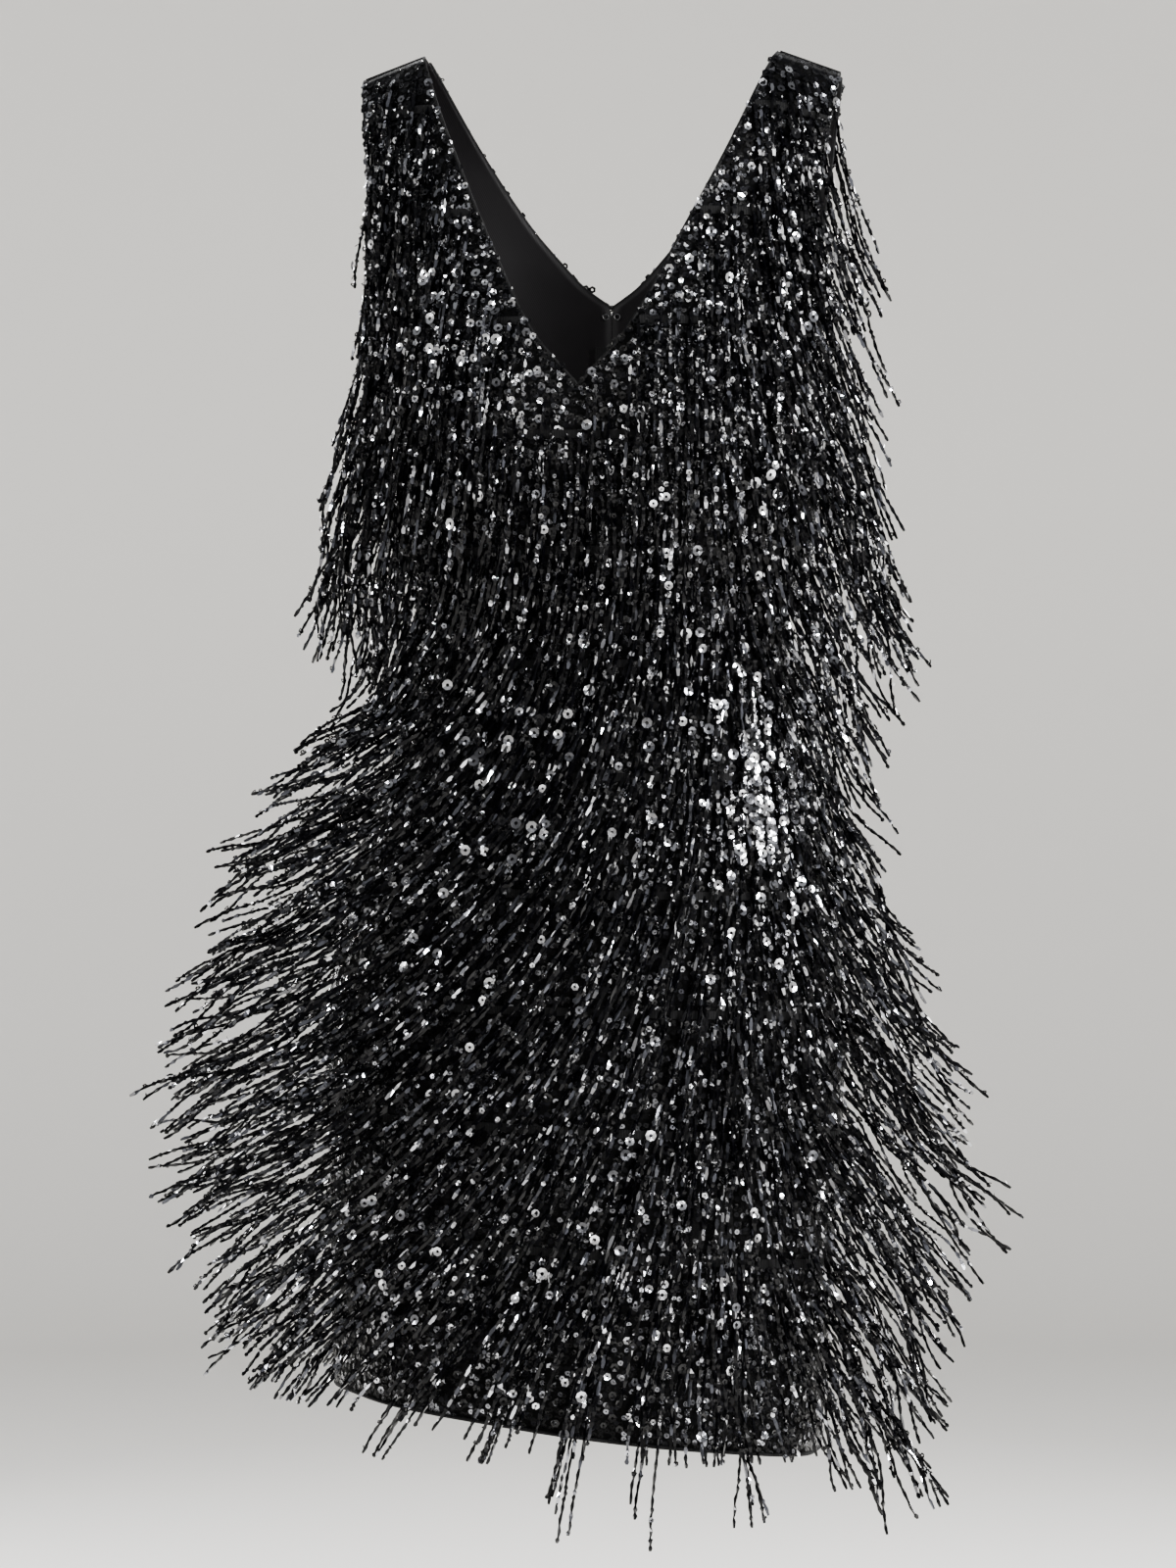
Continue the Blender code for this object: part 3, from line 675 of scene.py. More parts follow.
# %% Edge lines and binding
BINDING_RADIUS = 1.25
BINDING_STEP = 5.0
EDGE_TOP = 2.0
EDGE_POINTS = 160
SEAM_POINTS = 12
HEM_POINTS = 200
NUDGE = 0.1


def run_along(line):
    """The distance along a line of points (n, 3), from 0 at its first point."""
    return np.concatenate([[0], np.cumsum(np.linalg.norm(np.diff(line, axis=0), axis=1))])


def even_line(angle, drop, step):
    """The same line of angles and drops, read again at even distances along the cloth."""
    run = run_along(off_figure(angle, drop, NET_THICKNESS))
    at = np.linspace(0, run[-1], max(2, int(run[-1] / step)))
    return np.interp(at, run, angle), np.interp(at, run, drop)


def cut_edge(kind, side, edge, inset, step):
    """The neck or armhole edge of one half panel, this far inside the cloth, at even steps.

    NUDGE keeps its last point off the step at the point of the V or at the underarm.
    """
    neck, v_drop, back = edge
    drop = np.linspace(EDGE_TOP, v_drop if kind == "neck" else UNDERARM_DROP, EDGE_POINTS)
    shift = np.degrees(inset / HALF_WIDTH(drop))
    if kind == "neck":
        angle = inner_angle(drop, neck, v_drop + NUDGE) + shift
    else:
        angle = outer_angle(drop - NUDGE) - shift
    angle, drop = even_line(angle, drop, step)
    return panel_angle(side, angle, back), drop


def sweep_tube(path, out, radius, sides=6):
    """A closed tube: a polygon carried along a path, square to it, out (n, 3) giving its up.

    At each end its last ring is drawn together to the end of the path.
    """
    ahead = unit(np.gradient(path, axis=0))
    out = square_to(out, ahead)
    side = np.cross(ahead, out)
    spin = np.linspace(0, math.tau, sides + 1)[:, None, None]
    rings = path + radius * (np.cos(spin) * out + np.sin(spin) * side)
    start, end = (np.broadcast_to(point, (sides + 1, 1, 3)) for point in (path[0], path[-1]))
    rings = np.concatenate([start, rings, end], axis=1)
    return rings.reshape(-1, 3), grid_quads(sides + 1, len(path) + 2)


def join_parts(parts):
    """Joins (points, quads) pairs into one pair, with the point numbers moved on."""
    starts = np.cumsum([0] + [len(points) for points, _ in parts])
    quads = [np.where(quads < 0, -1, quads + start) for (_, quads), start in zip(parts, starts)]
    return np.concatenate([points for points, _ in parts]), np.concatenate(quads)


def binding_parts():
    """The bindings of the neck, armholes, shoulder seams and hem: tubes on the cloth's edge."""
    lines = [
        cut_edge(kind, side, edge, 0.0, BINDING_STEP)
        for kind in ("neck", "armhole")
        for side in (-1, 1)
        for edge in (FRONT_EDGE, BACK_EDGE)
    ]
    for side in (-1, 1):
        seam = np.linspace(inner_angle(0.0, NECK_FRONT_AT, FRONT_V_DROP), outer_angle(0.0), SEAM_POINTS)
        lines.append((side * seam, np.zeros(SEAM_POINTS)))
    hem = np.linspace(-180, 180, HEM_POINTS)
    lines.append((hem, np.full_like(hem, HEM_DROP)))
    for angle, drop in lines:
        middle = off_figure(angle, drop, 0.5 * NET_THICKNESS + ridge(angle, drop))
        yield sweep_tube(middle, normals_of(angle, drop), BINDING_RADIUS)


binding = mesh_piece("edge_binding", *join_parts(list(binding_parts())), [TAPE], smooth=True)
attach(binding, "root")
print("binding faces:", len(binding.data.polygons))

# %% [markdown]
# ## Sequins on the cloth
#
# A cup sequin is a small disc punched from film, with a hole for the thread and its rim
# raised. Each is a ring of facets that slope up from the hole, which is what makes a real one
# flash as a ring. They are sewn in staggered rows, closest on the straps, and edge to edge
# along the neck and the armholes. All the sequins of a panel are one joined mesh.

# %% Sequin rings
CUP_RISE = 0.12
HOLE_SHARE = 0.34
CLOTH_FACETS = 6


def sequin_rings(centre, normal, up, radius, tilt_deg, rng, facets=CLOTH_FACETS):
    """Rings of facets round a hole: radius times (cos, sin) in the plane, with the rim raised.

    centre, normal and up are (n, 3), radius is (n,). Gives points, quads and a tone per quad.
    """
    n = len(centre)
    side = unit(np.cross(up, normal))
    lean = np.tan(np.radians(tilt_deg) * rng.normal(0, 1, (2, n, 1)))
    normal = unit(normal + side * lean[0] + np.cross(normal, side) * lean[1])
    side = unit(np.cross(up, normal))
    up = np.cross(normal, side)
    spin = rng.uniform(0, math.tau, n)[:, None] + np.linspace(0, math.tau, facets, endpoint=False)
    ring = side[:, None] * np.cos(spin)[..., None] + up[:, None] * np.sin(spin)[..., None]
    reach = radius[:, None, None]
    rim = centre[:, None] + ring * reach + normal[:, None] * CUP_RISE * reach
    eye = centre[:, None] + ring * reach * HOLE_SHARE
    points = np.concatenate([eye, rim], axis=1).reshape(-1, 3)
    i = np.arange(facets)
    one = np.stack([i, i + facets, (i + 1) % facets + facets, (i + 1) % facets], 1)
    quads = (one[None] + (2 * facets * np.arange(n))[:, None, None]).reshape(-1, 4)
    return points, quads, np.repeat(rng.uniform(0, 1, n), facets)


# %% Sequins on the panels
CLOTH_SEQUIN_RADIUS = (1.5, 3.0)
# Columns: drop where the zone starts, drop where it ends, pitch of its sequins
SEQUIN_ZONES = ((9.0, 270.0, 5.8), (270.0, 740.0, 13.0), (740.0, 860.0, 8.5))
SEQUIN_MARGIN = 3.0
EDGE_PITCH = 3.6
SEQUIN_TILT = 11.0
SEQUIN_STRAY = 1.6
FIRST_SEQUIN = 8.0
EDGE_INSET = 1.5
SEQUIN_LIFT = (0.3, 0.9)
ROW_SHARE = 0.9
ROW_POINTS = 40


def sequin_rows(side, edge):
    """Angles and drops of staggered rows of sequins on one half panel."""
    neck, v_drop, back = edge
    for start, end, pitch in SEQUIN_ZONES:
        for row, drop in enumerate(np.arange(start, end, ROW_SHARE * pitch)):
            margin = np.degrees(SEQUIN_MARGIN / HALF_WIDTH(drop))
            inner = float(inner_angle(drop, neck, v_drop)) + margin * (drop < v_drop)
            sweep = np.linspace(inner, float(outer_angle(drop)) - margin, ROW_POINTS)
            run = run_along(off_figure(sweep, np.full(ROW_POINTS, drop), 0.0))
            place = np.arange(0.25 + 0.5 * (row % 2), run[-1] / pitch) * pitch
            angle = np.interp(place, run, sweep)
            yield panel_angle(side, angle, back), np.full(len(angle), drop)


def panel_sequins(name, sides, edge, seed):
    """The sequins of one panel: its rows, and a close line along its neck and its armhole."""
    rng = np.random.default_rng(seed)
    lines = [line for side in sides for line in sequin_rows(side, edge)]
    for side in sides:
        lines += [cut_edge(kind, side, edge, EDGE_INSET, EDGE_PITCH) for kind in ("neck", "armhole")]
    angle, drop = (np.concatenate(column) for column in zip(*lines))
    n = len(angle)
    angle = angle + np.degrees(SEQUIN_STRAY * rng.normal(0, 0.5, n) / HALF_WIDTH(drop))
    drop = np.maximum(drop + SEQUIN_STRAY * rng.normal(0, 1, n), FIRST_SEQUIN)
    lift = ridge(angle, drop) + rng.uniform(*SEQUIN_LIFT, n)
    centre = off_figure(angle, drop, NET_THICKNESS + lift)
    up = np.broadcast_to([0.0, 0.0, 1.0], centre.shape)
    radius = rng.uniform(*CLOTH_SEQUIN_RADIUS, n)
    points, quads, tone = sequin_rings(centre, normals_of(angle, drop), up, radius, SEQUIN_TILT, rng)
    obj = mesh_piece(name, points, quads, [FILM], tone=tone)
    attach(obj, "root")
    print(name, n, "sequins,", len(quads) * 2, "triangles")


panel_sequins("front_sequins", (-1, 1), FRONT_EDGE, 11)
panel_sequins("back_left_sequins", (-1,), BACK_EDGE, 12)
panel_sequins("back_right_sequins", (1,), BACK_EDGE, 13)

# %% [markdown]
# ## How the fringe swings
#
# The dress is moving, so the strands don't hang plumb. A small table gives the swing of a
# strand from straight down, at places across the figure and at each drop. A strand is then
# marched: it starts at its seam and takes short steps, each in the direction that the table
# gives where it is, and is pushed out again wherever it would enter the figure. At the sides
# it flies free of the body.

# %% Swing table
# Places are multiples of the half width from the centre line. Swing is in degrees, plus right.
SWING_PLACES = (-2, -1.25, -1, -0.5, 0, 0.5, 1, 2)
SWING = (
    (0, (-4, 0, 1, -8, 0, 2, 13, 26)),
    (100, (-6, -1, 0, -9, -2, 1, 18, 34)),
    (155, (-12, -6, -4, -9, -3, 1, 21, 38)),
    (205, (-22, -19, -14, -7, -2, 1, 21, 34)),
    (270, (-22, -19, -14, -6, -2, 1, 19, 30)),
    (340, (-10, -7, -9, -10, -5, -1, 18, 28)),
    (385, (-18, -12, -34, -24, -12, -3, 18, 28)),
    (430, (-66, -60, -54, -33, -20, -6, 18, 34)),
    (505, (-68, -61, -58, -42, -28, -8, 24, 48)),
    (600, (-68, -62, -58, -45, -30, -6, 30, 56)),
    (695, (-72, -64, -60, -42, -26, -5, 32, 54)),
    (790, (-56, -50, -46, -38, -22, -4, 28, 40)),
    (886, (-36, -32, -30, -28, -8, 0, 20, 32)),
)
MARCH_STEP = 5.0
# How far a strand stays off the cloth at its root, and how much more for each mm of its length
STAND_OFF = 1.2
STAND_OFF_RATE = 0.036
# How strongly it falls back to the cloth, from which gap on, and where that ends at the sides
HUG = 0.6
HUG_GAP = 12.0
HUG_EDGE = 1.05
HUG_FADE = 0.3
# The least value that a point's level is divided by
LEAST_LEVEL = 0.2
# The share of its own extra swing that a strand has at its root
SWING_AT_ROOT = 0.25
# How strongly it flies out in front or behind, at least and where it swings far
FAN_LEAST = 0.10
FAN_SWING = 0.95
FAN_SPREAD = 0.16
FAN_SIDE_SHARE = 0.45
# Its swing is read this much further out and down than its root
LOOK_OUT = 1.3
LOOK_DOWN = 60.0
WAVE_TURNS = 1.3
SIDE_START = 0.88


def swing_at(place, drop):
    """The swing in radians: the table read with straight lines across and smooth steps down."""
    levels = np.array([row[0] for row in SWING])
    table = np.array([row[1] for row in SWING])
    drop = np.clip(drop, levels[0], levels[-1])
    i = np.clip(np.searchsorted(levels, drop) - 1, 0, len(levels) - 2)
    t = (drop - levels[i]) / (levels[i + 1] - levels[i])
    t = t * t * (3 - 2 * t)
    places = np.array(SWING_PLACES)
    place = np.clip(place, places[0], places[-1])
    j = np.clip(np.searchsorted(places, place) - 1, 0, len(places) - 2)
    u = (place - places[j]) / (places[j + 1] - places[j])
    upper = table[i, j] * (1 - u) + table[i, j + 1] * u
    lower = table[i + 1, j] * (1 - u) + table[i + 1, j + 1] * u
    return np.radians(upper * (1 - t) + lower * t)


# %% March of the strands
def clear_of_figure(point, clearance):
    """Moves points nearer the figure than the clearance out of it, and gives the gap.

    In front and behind they move straight out, so that strands hang side by side, and past
    SIDE_START of the half width they move more and more away from the figure's middle line.
    """
    drop = np.clip(-point[:, 2], 1.0, HEM_DROP)
    turn = np.radians(TURN(drop))
    own_x, own_y = turned(point[:, 0] - SHIFT(drop), point[:, 1], -turn)
    depth = np.where(own_y < 0, FRONT_DEPTH(drop), BACK_DEPTH(drop)) * arch(drop)
    half = HALF_WIDTH(drop) + clearance
    place = own_x / half
    forward = np.sqrt(np.clip(1 - place * place, 0, 1))
    depth = depth + clearance + np.where(own_y < 0, cups(own_x, drop) * forward, 0)
    level = np.hypot(place, own_y / depth)
    grow = np.where(level < 1, 1 / np.maximum(level, LEAST_LEVEL), 1.0)
    round_it = np.clip((np.abs(place) - SIDE_START) / (1 - SIDE_START), 0, 1)
    straight_y = np.where(level < 1, np.sign(own_y) * depth * forward, own_y)
    own_x = own_x * (1 + round_it * (grow - 1))
    own_y = round_it * own_y * grow + (1 - round_it) * straight_y
    gap = np.abs(own_y) - depth * np.sqrt(np.clip(1 - (own_x / half) ** 2, 0, 1))
    x, y = turned(own_x, own_y, turn)
    return np.stack([x + SHIFT(drop), y, point[:, 2]], -1), gap


def march(root, length, swing_more, wave, fan, lift):
    """Strand paths (steps + 1, strands, 3): each step goes down the swing field, kept clear.

    wave is an (amplitude, phase) pair that bends each strand to and fro a little.
    """
    steps = int(round(length.max() / MARCH_STEP))
    path = [root]
    pace = (length / steps)[:, None]
    gap = np.zeros(len(root))
    for step in range(1, steps + 1):
        point = path[-1]
        drop = -point[:, 2]
        level = np.clip(drop, 0, HEM_DROP)
        place = (point[:, 0] - SHIFT(level)) / HALF_WIDTH(level)
        share = step / steps
        bend = wave[0] * np.sin(wave[1] + WAVE_TURNS * math.tau * share)
        growth = SWING_AT_ROOT + (1 - SWING_AT_ROOT) * share
        swing = swing_at(place, drop) + swing_more * growth + bend
        near = np.clip(gap / HUG_GAP, 0, 1) * np.clip((HUG_EDGE - np.abs(place)) / HUG_FADE, 0, 1)
        toward = -np.sign(point[:, 1]) * HUG * near
        way = unit(np.stack([np.sin(swing), fan * share + toward, -np.cos(swing)], -1))
        clearance = WALL + lift + STAND_OFF_RATE * share * length
        moved, gap = clear_of_figure(point + way * pace, clearance)
        path.append(point + unit(moved - point) * pace)
    return np.stack(path)


def fan_of(angle_deg, drop, x, spread):
    """How strongly strands fly away from the front or the back, growing with their swing."""
    facing = -np.cos(np.radians(angle_deg))
    swing = swing_at(LOOK_OUT * (x - SHIFT(drop)) / HALF_WIDTH(drop), drop + LOOK_DOWN)
    outward = np.sign(facing) * (FAN_SIDE_SHARE + (1 - FAN_SIDE_SHARE) * np.abs(facing))
    return outward * (FAN_LEAST + FAN_SWING * np.sin(np.abs(swing)) ** 2) + FAN_SPREAD * spread


print("swing at the left hip:", round(math.degrees(float(swing_at(-1.0, 600.0)))), "degrees")

# %% [markdown]
# ## Strands of beads
#
# A strand is a thread with small cut beads, 4 to 8 mm long, and a rounder one here and there.
# It is a triangle carried along the path, wide at the belly of each bead and narrow at the
# neck between two. Every bead is turned by its own random angle, so that each of its flat
# faces mirrors something else. A strand also has its own shine, because some lots of beads
# have more lustre, and so a whole strand reads as bright or dark.

# %% Bead strands
BEAD_SIDES = 3
LONG_BEAD = (4.2, 7.6)
LONG_RADIUS = 1.4
ROUND_BEAD = 3.0
ROUND_RADIUS = 1.7
ROUND_SHARE = 0.26
MEAN_BEAD = 5.3
BEAD_VARIETY = (0.9, 1.1)
NECK_SHARE = 0.62
# Nearly along Y, and never quite along a strand
ASIDE = (0.0, 1.0, 0.001)
# The power that a strand's tones are raised to: a low one makes the whole strand bright
SHINE = (0.22, 4.0)


def along_path(path, share):
    """Points and directions at shares (strands, k) of each path (steps, strands, 3)."""
    steps = len(path) - 1
    place = np.clip(share, 0, 1) * steps
    i = np.minimum(place.astype(int), steps - 1)
    t = (place - i)[..., None]
    strand = np.arange(path.shape[1])[:, None]
    ahead = path[np.minimum(i + 2, steps), strand] - path[np.maximum(i - 1, 0), strand]
    middle = path[i, strand] * (1 - t) + path[i + 1, strand] * t
    return middle, unit(ahead)


def bead_strands(path, length, shine, rng):
    """Strands of beads on their paths: points, faces, tones, and each bead's place and heading."""
    n, beads = path.shape[1], int(length.mean() / MEAN_BEAD)
    is_round = rng.random((n, beads)) < ROUND_SHARE
    size = np.where(is_round, ROUND_BEAD, rng.uniform(*LONG_BEAD, (n, beads)))
    neck = np.cumsum(size, axis=1) / size.sum(axis=1, keepdims=True)
    neck = np.concatenate([np.zeros((n, 1)), neck], axis=1)
    belly = (neck[:, :-1] + neck[:, 1:]) / 2
    wide = np.where(is_round, ROUND_RADIUS, LONG_RADIUS) * rng.uniform(*BEAD_VARIETY, (n, beads))
    twist = rng.uniform(0, math.tau / BEAD_SIDES, (n, beads))

    rings = 2 * beads + 1
    share, radius, turn = np.zeros((3, n, rings))
    share[:, ::2], share[:, 1::2] = neck, belly
    radius[:, ::2], radius[:, 1::2] = NECK_SHARE * LONG_RADIUS, wide
    turn[:, 1::2], turn[:, 2::2] = twist, twist
    place, ahead = along_path(path, share)
    side = unit(np.cross(ahead, ASIDE))
    out = np.cross(side, ahead)
    spin = (turn[..., None] + np.arange(BEAD_SIDES) * math.tau / BEAD_SIDES)[..., None]
    round_it = side[..., None, :] * np.cos(spin) + out[..., None, :] * np.sin(spin)
    points = place[..., None, :] + radius[..., None, None] * round_it

    i = np.arange(BEAD_SIDES)
    ahead_i = (i + 1) % BEAD_SIDES
    band = np.stack([i, ahead_i, ahead_i + BEAD_SIDES, i + BEAD_SIDES], 1)
    wall = (band[None] + (BEAD_SIDES * np.arange(rings - 1))[:, None, None]).reshape(-1, 4)
    last = BEAD_SIDES * (rings - 1)
    ends = np.array([[2, 1, 0, -1], [last, last + 1, last + 2, -1]])
    strand = (BEAD_SIDES * rings * np.arange(n))[:, None, None]
    walls = (wall[None] + strand).reshape(-1, 4)
    caps = np.where(ends < 0, -1, ends + strand).reshape(-1, 4)
    tone = rng.uniform(0, 1, (n, beads)) ** shine[:, None]
    tone = np.repeat(tone, 2 * BEAD_SIDES, axis=1).ravel()
    middle, heading = along_path(path, belly)
    faces = np.concatenate([walls, caps])
    return points.reshape(-1, 3), faces, np.concatenate([tone, np.zeros(2 * n)]), middle, heading


# %% [markdown]
# ## Rows of fringe
#
# The rows and their drops are those of the solids, so each piece replaces the solid that it
# is named for. A third of the strands hang from the header tape, and the rest are sewn one by one
# to the net above and below it, which hides the rows. Small sequins are threaded on the
# strands, and larger, bright ones are clustered at places: those at the left bust, the right hip
# and down the right side sit where light falls on the form, and are painted highlights.

# %% Fringe rows
# Columns: drop of the tape, strand length at the left side, at the centre, at the right side
STRAP_ROWS = ((40.0, 130.0, 140.0, 140.0), (108.0, 132.0, 145.0, 142.0), (178.0, 134.0, 145.0, 150.0))
BODY_ROWS = (
    (248.0, 134.0, 148.0, 150.0),
    (318.0, 86.0, 152.0, 132.0),
    (388.0, 118.0, 155.0, 150.0),
    (458.0, 128.0, 155.0, 150.0),
    (530.0, 130.0, 155.0, 152.0),
    (602.0, 130.0, 155.0, 156.0),
    (675.0, 126.0, 155.0, 142.0),
    (750.0, 104.0, 154.0, 150.0),
)
# Distances between strands along a row, closer towards the neck by a power of their place
STRAP_PITCH = 2.3
NECK_CROWD = 1.2
CHEST_PITCH = 2.7
CHEST_END = 330.0
FRONT_PITCH = 3.2
BACK_PITCH = 5.8
LAST_CLOSER = 0.8
# How far off its tape a strand may be sewn, and the first and last drop for that, which
# rises towards the sides
SEWN_REACH = 35.0
FIRST_ROOT = 7.0
LAST_ROOT = 800.0
LAST_RISE_LEFT = 40.0
LAST_RISE_RIGHT = 35.0
HEM_TIP = 876.0
# Bunches of strands that hang below the hem. Columns: x of their roots, spread, tips' depth
HEM_BUNCHES = (
    (-134, 7, 872),
    (-122, 6, 866),
    (-112, 9, 874),
    (-58, 7, 902),
    (-22, 3, 888),
    (14, 3, 927),
    (48, 6, 927),
    (92, 4, 914),
    (118, 6, 921),
    (126, 5, 898),
    (138, 5, 926),
    (146, 5, 908),
    (150, 3, 918),
)
BUNCH_SHARE = 0.4
BUNCH_ROOT = (765.0, 800.0)
TAPE_HEIGHT = 5.0
TAPE_WALL = 0.9
TAPE_MARGIN = 4.0
# How strands differ: a factor on the length, and degrees of swing for one and for a lock
LENGTH_SPREAD = (0.76, 1.1)
SWING_SPREAD = 2.4
LOCK_SWING = 9.0
WAVE_SWING = (3.0, 24.0)
STRAP_FREEDOM = 0.5
CENTRE_FREEDOM = 0.22
STRAY_SHARE = 0.03
STRAY_SWING = 8.0
TAPE_POINTS = 46
TAPE_GAP = 0.5
# One strand in this many hangs from the tape
TAPE_EVERY = 3
ROOT_JITTER = 0.35
# The side's length takes over by this power of the place across
SIDE_POWER = 3
# A strand reaches down by the cosine of this share of its swing
SAG_SHARE = 0.6
# Strands drift together in locks: three waves along the row, whose periods in mm are 2 pi times
DRIFT_PERIODS = (4.0, 7.0, 15.0)
WAVE_SPREAD = 0.9
STRAND_LIFT = 2.4

# %% Sequins of the fringe
# How far they face out to the sides, and how far off the thread they hang
SEQUIN_FACING = 0.55
THREAD_GAP = 0.4
THREAD_SHARE = 0.4
# The share of beads with a small sequin on the upper rows, the lower rows and the back
TOP_CHAIN_SHARE = 0.42
CHAIN_SHARE = 0.15
BACK_CHAIN_SHARE = 0.2
# Least and greatest radius, tilt in degrees, facets, least and greatest tone
SMALL_SEQUIN = ((1.5, 2.1), 30.0, 5, (0.0, 0.9))
LARGE_SEQUIN = ((2.4, 3.7), 9.0, 8, (0.6, 1.0))
GLITTER_BASE = 0.008
# The large sequins are bright, so the clusters at the left bust, the right hip and down the right side
# (the first four rows) are painted highlights where light falls on the form. The others crowd them at
# the straps, the left side and lower down.
# Columns: x, z, reach across, reach down, and the share of beads there that carry a sequin
SEQUIN_CLUSTERS_AND_PAINTED_HIGHLIGHTS = (
    (-78, -172, 34, 45, 0.2),
    (107, -460, 22, 48, 0.75),
    (110, -440, 44, 90, 0.14),
    (120, -360, 36, 230, 0.06),
    (-95, -455, 70, 40, 0.07),
    (-110, -560, 60, 40, 0.05),
    (30, -720, 40, 60, 0.03),
    (-130, -760, 60, 60, 0.07),
    (40, -800, 60, 50, 0.03),
    (140, -60, 40, 90, 0.1),
    (-140, -60, 40, 90, 0.08),
)


def large_sequin_share_with_painted_highlights(place):
    """The share of beads with a large, bright sequin at each place: a small base and some clusters.

    The clusters at the left bust, the right hip and down the right side are painted highlights.
    """
    share = np.full(place.shape[:-1], GLITTER_BASE)
    for x, z, across, down, more in SEQUIN_CLUSTERS_AND_PAINTED_HIGHLIGHTS:
        bell = np.exp(-(((place[..., 0] - x) / across) ** 2) - ((place[..., 2] - z) / down) ** 2)
        share = share + more * bell
    return share


def threaded_sequins(middle, heading, share, shine, kind, rng):
    """Sequins at a share of the beads, on the side of the strand that faces out of the dress.

    They hang flat on the fringe, so they face forward or back more than the body does.
    """
    radius, tilt, facets, (darkest, brightest) = kind
    lucky = rng.random(middle.shape[:2]) < share
    centre, along = middle[lucky], heading[lucky]
    away = square_to(centre * np.array([SEQUIN_FACING, 1.0, 0.0]), along)
    size = rng.uniform(*radius, len(centre))
    centre = centre + away * (THREAD_GAP + THREAD_SHARE * size[:, None])
    points, quads, tone = sequin_rings(centre, away, along, size, tilt, rng, facets)
    tone = tone ** np.repeat(shine[np.nonzero(lucky)[0]], facets)
    return points, quads, darkest + (brightest - darkest) * tone


# %% Roots and paths of a row
def gather_bunches(share, root_drop, rng):
    """Moves some of the last row's roots together, and gives each root the depth of its tip."""
    count = len(share)
    x, spread, depth = np.array(HEM_BUNCHES)[rng.integers(0, len(HEM_BUNCHES), count)].T
    gathered = rng.random(count) < BUNCH_SHARE
    sine = (x + spread * rng.normal(0, 0.5, count)) / HALF_WIDTH(HEM_DROP)
    angle = np.degrees(np.arcsin(np.clip(sine, -1, 1)))
    share = np.where(gathered, 0.5 + angle / 180.0, share)
    root_drop = np.where(gathered, rng.uniform(*BUNCH_ROOT, count), root_drop)
    return share, root_drop, np.where(gathered, depth, HEM_TIP)


def row_roots(drop, ends_at, back, run, rng):
    """Each root's angle, drop, place across and along the row, and the depth its tip may reach."""
    low = drop == BODY_ROWS[-1][0]
    front_pitch = CHEST_PITCH if drop < CHEST_END else FRONT_PITCH
    pitch = (BACK_PITCH if back else front_pitch) * (LAST_CLOSER if low else 1.0)
    count = int(run / (STRAP_PITCH if drop < UNDERARM_DROP else pitch))
    share = (np.arange(count) + 0.5 + rng.uniform(-ROOT_JITTER, ROOT_JITTER, count)) / count
    share = share ** (NECK_CROWD if drop < UNDERARM_DROP else 1.0)
    on_tape = np.arange(count) % TAPE_EVERY == 0
    root_drop = drop + np.where(on_tape, 0.0, rng.uniform(-SEWN_REACH, SEWN_REACH, count))
    deepest = np.full(count, HEM_TIP)
    if low and not back:
        share, root_drop, deepest = gather_bunches(share, root_drop, rng)
    first, last = ends_at(drop)
    across = np.sin(np.radians(first + (last - first) * share))
    last_root = LAST_ROOT - np.where(across < 0, LAST_RISE_LEFT, LAST_RISE_RIGHT) * across**2
    root_drop = np.clip(root_drop, FIRST_ROOT, last_root)
    first, last = ends_at(root_drop)
    return first + (last - first) * share, root_drop, across, share * run, deepest


def row_paths(row, angle, root_drop, across, place, deepest, rng):
    """The strands' lengths and their paths from the roots, in locks that swing together."""
    drop, left_length, centre_length, right_length = row
    count = len(angle)
    root = off_figure(angle, root_drop, NET_THICKNESS + TAPE_GAP + 0.5 * TAPE_WALL)
    side_length = np.where(across < 0, left_length, right_length)
    length = centre_length + (side_length - centre_length) * np.abs(across) ** SIDE_POWER
    length = length * rng.uniform(*LENGTH_SPREAD, count)
    swing = swing_at(across, root_drop + 0.5 * length)
    length = np.minimum(length, (deepest - root_drop) / np.cos(SAG_SHARE * swing))
    lock = place + root_drop
    waves = [np.sin(lock / period + rng.uniform(0, math.tau)) for period in DRIFT_PERIODS]
    drift = sum(waves) / len(waves)
    stray = np.where(rng.random(count) < STRAY_SHARE, rng.normal(0, STRAY_SWING, count), 0.0)
    free = CENTRE_FREEDOM + (1 - CENTRE_FREEDOM) * across**2
    free = free * (STRAP_FREEDOM if drop < UNDERARM_DROP else 1.0)
    swing_more = free * np.radians(LOCK_SWING * drift + rng.normal(0, SWING_SPREAD, count) + stray)
    height = free * np.radians(rng.uniform(*WAVE_SWING, count))
    wave = (height, np.pi * drift + rng.normal(0, WAVE_SPREAD, count))
    fan = fan_of(angle, root_drop, root[:, 0], rng.uniform(-1, 1, count))
    lift = STAND_OFF + rng.uniform(0, STRAND_LIFT, count)
    return length, march(root, length, swing_more, wave, fan, lift)


# %% One row as one piece
def tape_band(angles, drop):
    """The header tape as a closed band: four rows of points, top and bottom, inside and out."""
    n = len(angles)
    rows = []
    for level, outward in ((-0.5, 0), (-0.5, 1), (0.5, 1), (0.5, 0), (-0.5, 0)):
        at = np.full(n, drop + level * TAPE_HEIGHT)
        rows.append(off_figure(angles, at, NET_THICKNESS + TAPE_GAP + outward * TAPE_WALL))
    ends = np.array([[0, 3 * n, 2 * n, n], [n - 1, 2 * n - 1, 3 * n - 1, 4 * n - 1]])
    return np.concatenate(rows), np.concatenate([grid_quads(5, n), ends])


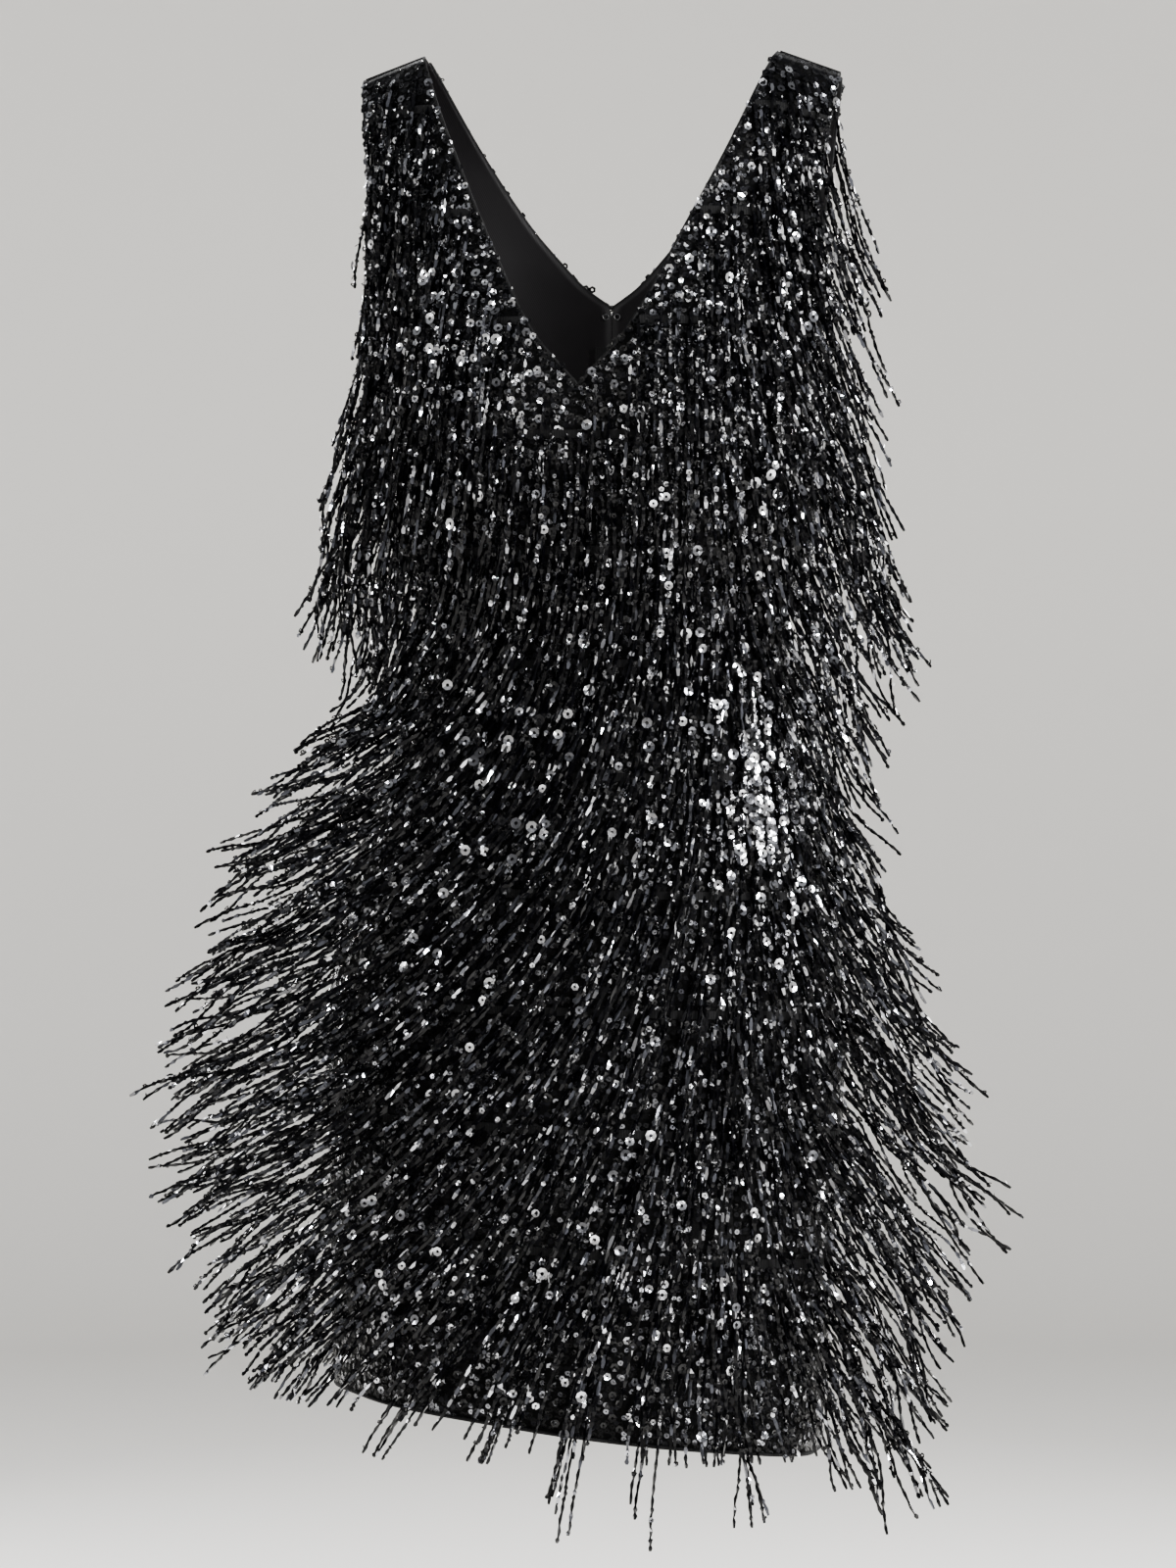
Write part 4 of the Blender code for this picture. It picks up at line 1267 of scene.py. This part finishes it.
def fringe_piece(node, row, ends_at, back, seed):
    """One row in one mesh: its header tape, its strands of beads and their sequins.

    ends_at(drop) gives the first and last angle of the row's strip at each drop.
    """
    rng = np.random.default_rng(seed)
    drop = row[0]
    sweep = np.linspace(*ends_at(drop), TAPE_POINTS)
    run = run_along(off_figure(sweep, np.full(TAPE_POINTS, drop), 0.0))[-1]
    length, path = row_paths(row, *row_roots(drop, ends_at, back, run, rng), rng)
    count = len(length)
    shine = np.exp(rng.spawn(1)[0].uniform(*np.log(SHINE), count))
    points, quads, tone, middle, heading = bead_strands(path, length, shine, rng)
    front_share = TOP_CHAIN_SHARE if drop <= BODY_ROWS[0][0] else CHAIN_SHARE
    chain_share = BACK_CHAIN_SHARE if back else front_share
    small = threaded_sequins(middle, heading, chain_share, shine, SMALL_SEQUIN, rng)
    # Large, bright sequins. Their clusters at the bust, the hip and the right side are painted
    # highlights.
    large = threaded_sequins(middle, heading, large_sequin_share_with_painted_highlights(middle), np.ones(count), LARGE_SEQUIN, rng)
    band = tape_band(sweep, drop)
    parts = [(points, quads), small[:2], large[:2], band]
    slots = np.repeat([0, 1, 1, 2], [len(part[1]) for part in parts])
    tones = np.concatenate([tone, small[2], large[2], np.zeros(len(band[1]))])
    obj = mesh_piece(node + "_beads", *join_parts(parts), [GLASS, FILM, TAPE], tones, slots)
    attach(obj, "root")
    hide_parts(node)
    sequins = (len(small[1]) // SMALL_SEQUIN[2], len(large[1]) // LARGE_SEQUIN[2])
    # Every face is two triangles, but each of a strand's two end caps is one
    return count, *sequins, 2 * len(slots) - 2 * count


def margin_angle(drop):
    """The tape's clear margin at an edge or seam, as an angle round the figure."""
    return np.degrees(TAPE_MARGIN / HALF_WIDTH(drop))


def strap_ends(side, edge):
    """A function that gives the first and last angle of a strap's rows at each drop."""
    neck, v_drop, back = edge

    def ends_at(drop):
        inner = inner_angle(drop, neck, v_drop) + margin_angle(drop)
        outer = outer_angle(np.minimum(drop, UNDERARM_DROP - 1)) - margin_angle(drop)
        return panel_angle(side, inner, back), panel_angle(side, outer, back)

    return ends_at


def body_ends(first, last):
    """The same for a row round the body: fixed angles, less the margin at each seam."""
    return lambda drop: (first + margin_angle(drop), last - margin_angle(drop))


# %% Make the fringe
totals = np.zeros(4, dtype=int)
for number, row in enumerate(STRAP_ROWS, 1):
    for face, edge in (("front", FRONT_EDGE), ("back", BACK_EDGE)):
        for side_name, side in SIDES:
            seed = 200 + 10 * number + 2 * (face == "back") + (side > 0)
            name = f"fringe_{number:02d}_{face}_{side_name}"
            totals += fringe_piece(name, row, strap_ends(side, edge), face == "back", seed)
for number, row in enumerate(BODY_ROWS, len(STRAP_ROWS) + 1):
    for face, first, last in (("front", -90, 90), ("back_left", -180, -90), ("back_right", 90, 180)):
        seed = 300 + 10 * number + len(face)
        name = f"fringe_{number:02d}_{face}"
        totals += fringe_piece(name, row, body_ends(first, last), face != "front", seed)
print("strands, small sequins, large sequins, triangles:", totals.tolist())

# %% [markdown]
# ## Zip, hook and eye
#
# The concealed zip keeps its solids: a woven tape inside the centre-back seam and a small
# enamelled pull outside. They only need their materials. A hook and eye of bent wire close
# the point of the back V above the zip.

# %% Zip materials, hook and eye
for node, material in (("zip_tape", TAPE), ("zip_pull", ENAMEL)):
    for material_slot in bpy.data.objects[node].material_slots:
        material_slot.material = material

WIRE_RADIUS = 0.4
EYE_RADIUS = 1.8
WIRE_POINTS = 17
HOOK_ANGLE = 178.6
HOOK_DROP = BACK_V_DROP + 5.0


def wire_loop(side):
    """A round loop of wire beside the centre-back seam, lying on the lining's inner face."""
    turn = np.linspace(0, math.tau, WIRE_POINTS)
    middle = off_figure(side * HOOK_ANGLE, np.float64(HOOK_DROP), -LINING_INSET - WIRE_RADIUS)
    circle = np.stack([np.cos(turn), 0 * turn, np.sin(turn)], 1) * EYE_RADIUS
    return sweep_tube(middle + circle, np.broadcast_to([0.0, 1.0, 0.0], circle.shape), WIRE_RADIUS)


loops = join_parts([wire_loop(-1), wire_loop(1)])
hook_and_eye = mesh_piece("hook_and_eye", *loops, [ENAMEL], smooth=True)
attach(hook_and_eye, "root")
print("hook and eye faces:", len(hook_and_eye.data.polygons))
